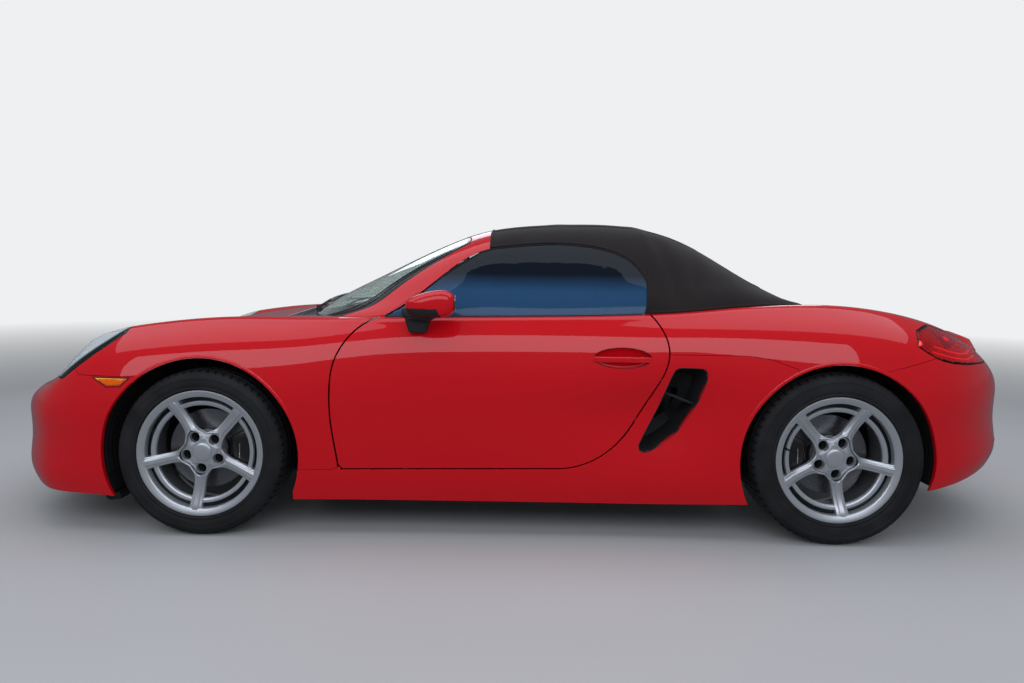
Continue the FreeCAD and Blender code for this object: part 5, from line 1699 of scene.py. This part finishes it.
# Cushion rings from front to rear: x, share of the width, height of the middle, of the bolster
# and of the underside. Back rings from below upward: x and z of the middle of the pad's face,
# half width, bolster and thickness. All in millimetres.
CUSHION = ((-126, 0.80, 372, 374, 352), (-112, 0.94, 418, 424, 316), (-60, 1.0, 432, 452, 300),
           (60, 1.0, 416, 462, 290), (180, 1.0, 396, 452, 280), (262, 0.98, 384, 420, 290),
           (282, 0.86, 372, 376, 320))
BACK = ((262, 366, 180, 0, 60), (272, 392, 226, 16, 96), (300, 480, 236, 44, 104),
        (336, 620, 238, 52, 104), (370, 760, 236, 46, 100), (394, 850, 214, 26, 92),
        (404, 890, 168, 10, 84), (414, 930, 128, 4, 76), (428, 985, 122, 4, 72),
        (442, 1030, 110, 0, 60), (450, 1046, 72, 0, 36))
# Right half of a back ring: share of the half width, and of the bolster or the thickness.
BACK_HALF = ((0.94, -0.9), (1.0, -0.4), (0.97, 0.5), (0.84, 0.96), (0.70, 0.5), (0.58, 0.02),
             (0.3, -0.03))


def whole_ring(half, top, under):
    """Ring from its right half, which runs from below upward, and two points in the middle."""
    return [(-y, z) for y, z in half] + [(0, top)] + list(reversed(half)) + [(0, under)]


def make_seats():
    """Bucket seats: cushion and back with raised sides, piping and base."""
    for side_name, side in SIDES:
        node = "seat_" + side_name
        y0 = side * 360
        rings = []
        for x, width, middle, bolster, under in CUSHION:
            w = 235 * width
            half = ((0.96 * w, under), (w, (under + bolster) / 2), (0.96 * w, bolster - 8),
                    (0.84 * w, bolster + 2), (0.70 * w, bolster - 8), (0.60 * w, middle + 2),
                    (0.3 * w, middle - 3))
            rings.append([Vector((x, y0 + y, z)) * MM for y, z in whole_ring(half, middle, under)])
        cushion = pad(node + "_cushion", rings, "leather", "root")
        rings = []
        for x, z, half, bolster, thick in BACK:
            places = []
            for across, out in whole_ring(BACK_HALF, 0, -1.0):
                push = out * (bolster if out > 0 else thick)
                places.append(Vector((x - push * 0.97, y0 + across * half, z + push * 0.24)) * MM)
            rings.append(places)
        pad(node + "_back", rings, "leather", "root")
        for k, sign in enumerate((-1, 1)):
            line = [Vector((x, y0 + sign * 0.64 * 235 * w, m + 6)) * MM
                    for x, w, m, _, _ in CUSHION[1:6]]
            tube("%s_piping_%d" % (node, k), line, 0.0028, 40, "seal", "root")
            line = [Vector((x - 0.05 * b, y0 + sign * 0.63 * h, z + 4)) * MM
                    for x, z, h, b, _ in BACK[1:6]]
            tube("%s_back_piping_%d" % (node, k), line, 0.0028, 50, "seal", "root")
        base = bmesh.new()
        block(base, (-0.060, y0 * MM - 0.190, 0.216), (0.330, y0 * MM + 0.190, 0.262))
        for y in (-0.17, 0.17):
            block(base, (-0.10, y0 * MM + y - 0.012, 0.216), (0.36, y0 * MM + y + 0.012, 0.236))
        block(base, (-0.02, y0 * MM - 0.16, 0.255), (0.27, y0 * MM + 0.16, 0.305))
        eased(node + "_base", base, "plastic", "root", 0.006)
        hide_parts(node)


def make_steering_wheel():
    """Leather rim with a spoke to each side, two below and a plain padded centre."""
    axis = Vector((math.cos(math.radians(25)), 0, math.sin(math.radians(25))))
    centre = Vector((-0.330, -0.360, 0.735))
    first, second = Vector((0, 1, 0)), axis.cross(Vector((0, 1, 0)))

    def at(x, y, z):
        return centre + first * x + second * y + axis * z

    rows = []
    for angle in around(72):
        grip = 1.0 + 0.14 * math.exp(-((math.degrees(angle) % 180 - 32) / 14) ** 2)
        row = []
        for turn in around(16):
            reach = 0.175 + 0.0135 * grip * math.cos(turn)
            row.append(at(reach * math.cos(angle), reach * math.sin(angle),
                          0.015 * grip * math.sin(turn)))
        rows.append(row)
    rim = added("steering_rim", lattice(rows, close_rows=True, close_columns=True),
                "leather", "steering_wheel", 60.0)
    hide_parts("steering_wheel")
    rows = []
    for r, z in ((0.0, 0.018), (0.025, 0.0175), (0.048, 0.014), (0.060, 0.006), (0.064, -0.008),
                 (0.058, -0.030), (0.040, -0.038), (0.0, -0.040)):
        rows.append([at(r * math.cos(a) * 1.12, r * math.sin(a) * 0.95 - 0.004, z)
                     for a in around(32)])
    hub = added("steering_pad", lattice(rows, close_columns=True), "leather", "steering_wheel",
                60.0)
    smoothed(hub, 1)
    arms = bmesh.new()
    for (x0, y0), (x1, y1), half in (((-0.05, 0.004), (-0.168, 0.014), 0.016),
                                     ((0.05, 0.004), (0.168, 0.014), 0.016),
                                     ((-0.014, -0.05), (-0.020, -0.166), 0.010),
                                     ((0.014, -0.05), (0.020, -0.166), 0.010)):
        line = Vector((x1 - x0, y1 - y0)).normalized()
        side = Vector((-line.y, line.x)) * half
        plate(arms, [at(x0 + side.x, y0 + side.y, -0.006),
                     at(x1 + side.x * 0.8, y1 + side.y * 0.8, -0.004),
                     at(x1 - side.x * 0.8, y1 - side.y * 0.8, -0.004),
                     at(x0 - side.x, y0 - side.y, -0.006)], axis * 0.009)
    eased("steering_spokes", arms, "alloy", "steering_wheel", 0.003)


def make_dashboard():
    """Gauges, vents, screen, console keys, gear lever, arm rest, pedals and inside mirror."""
    rings = []
    faces = []
    out = Vector((0.848, 0, -0.30)).normalized()
    for y, radius in ((-0.360, 0.031), (-0.436, 0.026), (-0.284, 0.026)):
        place = Vector((-0.416, y, 0.792))
        faces.append((place - out * 0.004, place + out * 0.0022, radius, 40))
        rings.append((place - out * 0.004, place + out * 0.0014, radius + 0.003, 40))
    rods("gauge_rings", rings, "chrome")
    rods("gauge_faces", faces, "gloss_black")

    vents = bmesh.new()
    for y in (-0.610, -0.075, 0.075, 0.610):
        for k in range(5):
            z = 0.704 + 0.012 * k
            block(vents, (-0.440, y - 0.055, z), (-0.4265 - 0.0028 * k, y + 0.055, z + 0.004))
    eased("dash_vents", vents, "plastic", "root", 0.0012, 1, 40.0)
    screen = bmesh.new()
    plate(screen, [(-0.452, -0.085, 0.590), (-0.452, 0.085, 0.590), (-0.434, 0.085, 0.690),
                   (-0.434, -0.085, 0.690)], (0.006, 0, 0))
    eased("dash_screen", screen, "gloss_black", "root", 0.004, 2, 40.0)
    keys = bmesh.new()
    for row in range(3):
        for k in range(6):
            y = -0.075 + 0.030 * k
            x = -0.452 - 0.020 * row
            z = 0.530 - 0.052 * row
            block(keys, (x - 0.012, y - 0.011, z), (x + 0.010, y + 0.011, z + 0.014))
    eased("dash_keys", keys, "plastic", "root", 0.002, 2, 40.0)

    rods("gear_stick", [((-0.30, 0, 0.395), (-0.325, 0, 0.500), 0.007, 16)], "chrome", "root",
         40.0)
    knob = [[Vector((-0.327 + r * math.cos(a), r * math.sin(a), z)) for a in around(20)]
            for r, z in ((0.004, 0.490), (0.016, 0.496), (0.023, 0.515), (0.024, 0.532),
                         (0.018, 0.546), (0.005, 0.551))]
    pad("gear_knob", knob, "leather", "root", 1)
    boot = [[Vector((-0.305 + r * 1.2 * math.cos(a), r * math.sin(a) * (1 + 0.06 * math.cos(4 * a)),
                     z)) for a in around(24)]
            for r, z in ((0.052, 0.400), (0.048, 0.408), (0.030, 0.424), (0.034, 0.432),
                         (0.018, 0.452), (0.020, 0.458), (0.009, 0.476))]
    pad("gear_boot", boot, "leather", "root", 1)
    rest = [[Vector((x, y, z)) * MM for y, z in (
        (-88 * w, 402), (-92 * w, 402 + 22 * h), (-80 * w, 402 + 34 * h), (0, 402 + 37 * h),
        (80 * w, 402 + 34 * h), (92 * w, 402 + 22 * h), (88 * w, 402), (0, 400))]
        for x, w, h in ((20, 0.9, 0.4), (28, 1.0, 1.0), (150, 1.0, 1.0), (290, 1.0, 1.0),
                        (300, 0.9, 0.4))]
    pad("arm_rest", rest, "leather", "root")
    pedals = bmesh.new()
    for y, half, z in ((-0.300, 0.022, 0.330), (-0.370, 0.036, 0.345), (-0.455, 0.036, 0.345)):
        rod(pedals, (-0.690, y, z + 0.01), (-0.740, y, z + 0.16), 0.006, 12)
        plate(pedals, [(-0.672, y - half, z - 0.032), (-0.672, y + half, z - 0.032),
                       (-0.694, y + half, z + 0.032), (-0.694, y - half, z + 0.032)],
              (-0.006, 0, -0.002))
    eased("pedals", pedals, "alloy", "root", 0.0015, 1, 40.0)
    mirror = bmesh.new()
    rows = []
    for x, w, h in ((-0.300, 0.2, 0.2), (-0.298, 0.9, 0.85), (-0.290, 1.0, 1.0), (-0.280, 1.0, 1.0),
                    (-0.277, 0.96, 0.9)):
        rows.append([Vector((x, 0.115 * w * squared(math.cos(a), 0.6),
                             1.098 + 0.032 * h * squared(math.sin(a), 0.6))) for a in around(32)])
    merged_into(mirror, lattice(rows, close_columns=True))
    ends_filled(mirror)
    rod(mirror, (-0.290, 0, 1.115), (-0.300, 0, 1.158), 0.008, 16)
    added("inside_mirror", mirror, "plastic", "root", 50.0)


def make_door_trim():
    """Inner door covering with an arm rest, pull handle and speaker."""
    outline = ((-632, 330), (-646, 470), (-648, 600), (-628, 700), (-590, 780), (-560, 838),
               (440, 838), (478, 800), (496, 730), (484, 660), (452, 590), (402, 512), (350, 440),
               (292, 380), (220, 330), (150, 312))
    for side_name, side in SIDES:
        door = "door_" + side_name
        trim = bmesh.new()
        plate(trim, side_corners(outline, side * 0.7145), (0, -side * 0.006, 0))
        eased("door_trim_" + side_name, trim, "leather", door, 0.003)
        rest = [[Vector((x * MM, side * (0.709 - y * MM), z * MM)) for y, z in (
            (-2, 520), (30 * w, 524), (46 * w, 544), (48 * w, 566), (40 * w, 582), (-2, 588))]
            for x, w in ((-380, 0.3), (-360, 0.9), (-200, 1.0), (60, 1.0), (200, 0.9), (230, 0.3))]
        pad("door_rest_" + side_name, rest, "leather", door)
        pull = [Vector((x * MM, side * (0.712 - y * MM), z * MM)) for x, y, z in (
            (-360, 0, 640), (-345, 34, 648), (-250, 42, 668), (-120, 42, 690), (-40, 34, 704),
            (-25, 0, 708))]
        tube("door_pull_" + side_name, pull, 0.010, 50, "alloy", door, sides=14)
        speaker = bmesh.new()
        centre = Vector((-0.500, side * 0.7085, 0.430))
        for radius, push in ((0.086, 0.006), (0.078, 0.008)):
            rod(speaker, centre, centre - Vector((0, side * push, 0)), radius, 48)
        eased("door_speaker_" + side_name, speaker, "plastic", door, 0.002, 2, 40.0)


def open_box(name, low, high, finish, thickness=0.004):
    """Lining of a box that is open at the top."""
    bm = bmesh.new()
    block(bm, low, high)
    top = max(bm.faces, key=lambda f: f.calc_center_median().z)
    bmesh.ops.delete(bm, geom=[top], context="FACES")
    edges = [e for e in bm.edges if not e.is_boundary]
    bmesh.ops.bevel(bm, geom=edges, offset=0.03, offset_type="OFFSET", segments=4, profile=0.5,
                    affect="EDGES", material=-1)
    piece = added(name, bm, finish, "root", 60.0)
    thickened(piece, thickness, 1.0)
    return reshaded(piece, 60.0)


def make_linings():
    """Linings of both load spaces, floor mats, roll bars and the rear bulkhead."""
    open_box("front_trunk_lining", (-1.794, -0.394, 0.346), (-1.066, 0.394, 0.640), "carpet")
    open_box("rear_trunk_lining", (1.486, -0.424, 0.406), (1.954, 0.424, 0.700), "carpet")
    for side_name, side in SIDES:
        low, high = sorted((side * 0.125, side * 0.680))
        rows = []
        for i in range(13):
            share = i / 12
            x = -0.78 + 0.66 * share
            z = 0.2175 + 0.10 * max(0.0, 1 - share * 3.2)
            rows.append([Vector((x, low + (high - low) * k / 10, z + 0.0008 * ((i + k) % 2)))
                         for k in range(11)])
        mat = added("floor_mat_" + side_name, lattice(rows), "carpet", "root", 60.0)
        thickened(mat, 0.006, 1.0)
        bar = [(0.560, side * y, z) for y, z in (
            (0.215, 0.60), (0.215, 0.86), (0.235, 0.955), (0.290, 0.995), (0.430, 0.995),
            (0.490, 0.955), (0.510, 0.86), (0.510, 0.60))]
        tube("roll_bar_" + side_name, bar, 0.019, 60, "plastic", "root", sides=16)
    bulkhead = bmesh.new()
    corners = ((-0.684, 0.225), (0.684, 0.225), (0.684, 0.800), (0.640, 0.850), (-0.640, 0.850),
               (-0.684, 0.800))
    plate(bulkhead, [(0.604, y, z) for y, z in corners], (-0.012, 0, 0))
    eased("rear_bulkhead", bulkhead, "carpet", "root", 0.005)


def make_stage():
    """Pale floor that fades into the backdrop colour, the backdrop and three soft lamps."""
    backdrop = (0.86, 0.87, 0.88)
    floor = Finish("floor_pale", (0.50, 0.50, 0.50), 0.55, specular_ior_level=0.3)
    floor.tint(floor.noise(0.8, 5.0), (0.48, 0.48, 0.48), (0.53, 0.53, 0.53))
    length = floor.make("ShaderNodeVectorMath", {0: floor.place}, operation="LENGTH")
    far = floor.span(length.outputs["Value"], 5.0, 14.0)
    glow = floor.make("ShaderNodeEmission", {"Color": (*backdrop, 1.0), "Strength": 1.0})
    mix = floor.make("ShaderNodeMixShader", {0: far, 1: floor.shader.outputs[0],
                                             2: glow.outputs[0]})
    dark = floor.make("ShaderNodeEmission", {"Color": (0.10, 0.11, 0.13, 1.0), "Strength": 1.0})
    glossy = floor.make("ShaderNodeLightPath").outputs["Is Glossy Ray"]
    both = floor.make("ShaderNodeMixShader", {0: glossy, 1: mix.outputs[0], 2: dark.outputs[0]})
    output = floor.nodes["Material Output"]
    floor.links.new(both.outputs[0], output.inputs["Surface"])
    bm = bmesh.new()
    bmesh.ops.create_circle(bm, cap_ends=True, segments=96, radius=60.0)
    plane = loose(bm, "floor")
    plane.data.materials.append(floor.material)

    world = bpy.data.worlds.new("studio")
    bpy.context.scene.world = world
    world.use_nodes = True
    tree = world.node_tree
    light = tree.nodes["Background"]
    seen = tree.nodes.new("ShaderNodeBackground")
    mirrored = tree.nodes.new("ShaderNodeBackground")
    for node, colour, strength in ((light, (0.90, 0.95, 1.0), 0.42), (seen, backdrop, 1.0),
                                   (mirrored, (0.80, 0.90, 1.0), 0.16)):
        node.inputs["Color"].default_value = (*colour, 1.0)
        node.inputs["Strength"].default_value = strength
    ray = tree.nodes.new("ShaderNodeLightPath").outputs
    either = tree.nodes.new("ShaderNodeMath")
    either.operation = "MAXIMUM"
    first = tree.nodes.new("ShaderNodeMixShader")
    second = tree.nodes.new("ShaderNodeMixShader")
    for source, target in (
            (ray["Is Camera Ray"], either.inputs[0]), (ray["Is Transmission Ray"], either.inputs[1]),
            (ray["Is Glossy Ray"], first.inputs[0]), (light.outputs[0], first.inputs[1]),
            (mirrored.outputs[0], first.inputs[2]), (either.outputs[0], second.inputs[0]),
            (first.outputs[0], second.inputs[1]), (seen.outputs[0], second.inputs[2]),
            (second.outputs[0], tree.nodes["World Output"].inputs["Surface"])):
        tree.links.new(source, target)

    lamps = (
        ("lamp_above", (0.0, -0.6, 3.8), (0.0, 0.0, 0.0), (9.0, 3.2), 100.0),
        ("lamp_left", (-0.4, -4.2, 2.7), (-0.2, 0.0, 0.6), (8.0, 1.9), 90.0),
        ("lamp_right", (0.6, 4.4, 3.0), (0.0, 0.0, 0.6), (6.0, 1.8), 60.0),
    )
    for name, place, aim, size, watts in lamps:
        data = bpy.data.lights.new(name, "AREA")
        data.shape = "RECTANGLE"
        data.size, data.size_y = size
        data.energy = watts
        data.color = (0.86, 0.90, 1.0)
        lamp = bpy.data.objects.new(name, data)
        lamp.location = place
        lamp.rotation_euler = (Vector(aim) - Vector(place)).to_track_quat("-Z", "Y").to_euler()
        bpy.context.scene.collection.objects.link(lamp)


CAMERA_AT = Vector((-0.054, -3.516, 1.022))
CAMERA_LENS = 24.26
CAMERA_ROLL = math.radians(0.85)
CAMERA_PITCH = math.radians(2.6)
CAMERA_SHIFT = -0.03125


def make_camera():
    """Camera at the place from which the photo was taken."""
    data = bpy.data.cameras.new("camera")
    data.lens = CAMERA_LENS
    data.sensor_width = 36.0
    data.shift_y = CAMERA_SHIFT
    camera = bpy.data.objects.new("camera", data)
    turn = Matrix.Rotation(math.radians(90) - CAMERA_PITCH, 4, "X")
    camera.matrix_world = Matrix.Translation(CAMERA_AT) @ turn @ Matrix.Rotation(CAMERA_ROLL, 4, "Z")
    bpy.context.scene.collection.objects.link(camera)
    bpy.context.scene.camera = camera


for make in (make_panels, finish_shown_nodes, make_wheels, make_soft_top, make_glass,
             make_head_lamps, make_markers, make_tail_lamps, make_intakes, make_handles,
             make_mirrors, make_cowl, make_arches, make_bumper_details, make_lid_details,
             make_seats, make_steering_wheel, make_dashboard, make_door_trim, make_linings,
             make_stage, make_camera):
    make()

bpy.context.scene.view_settings.view_transform = "Standard"
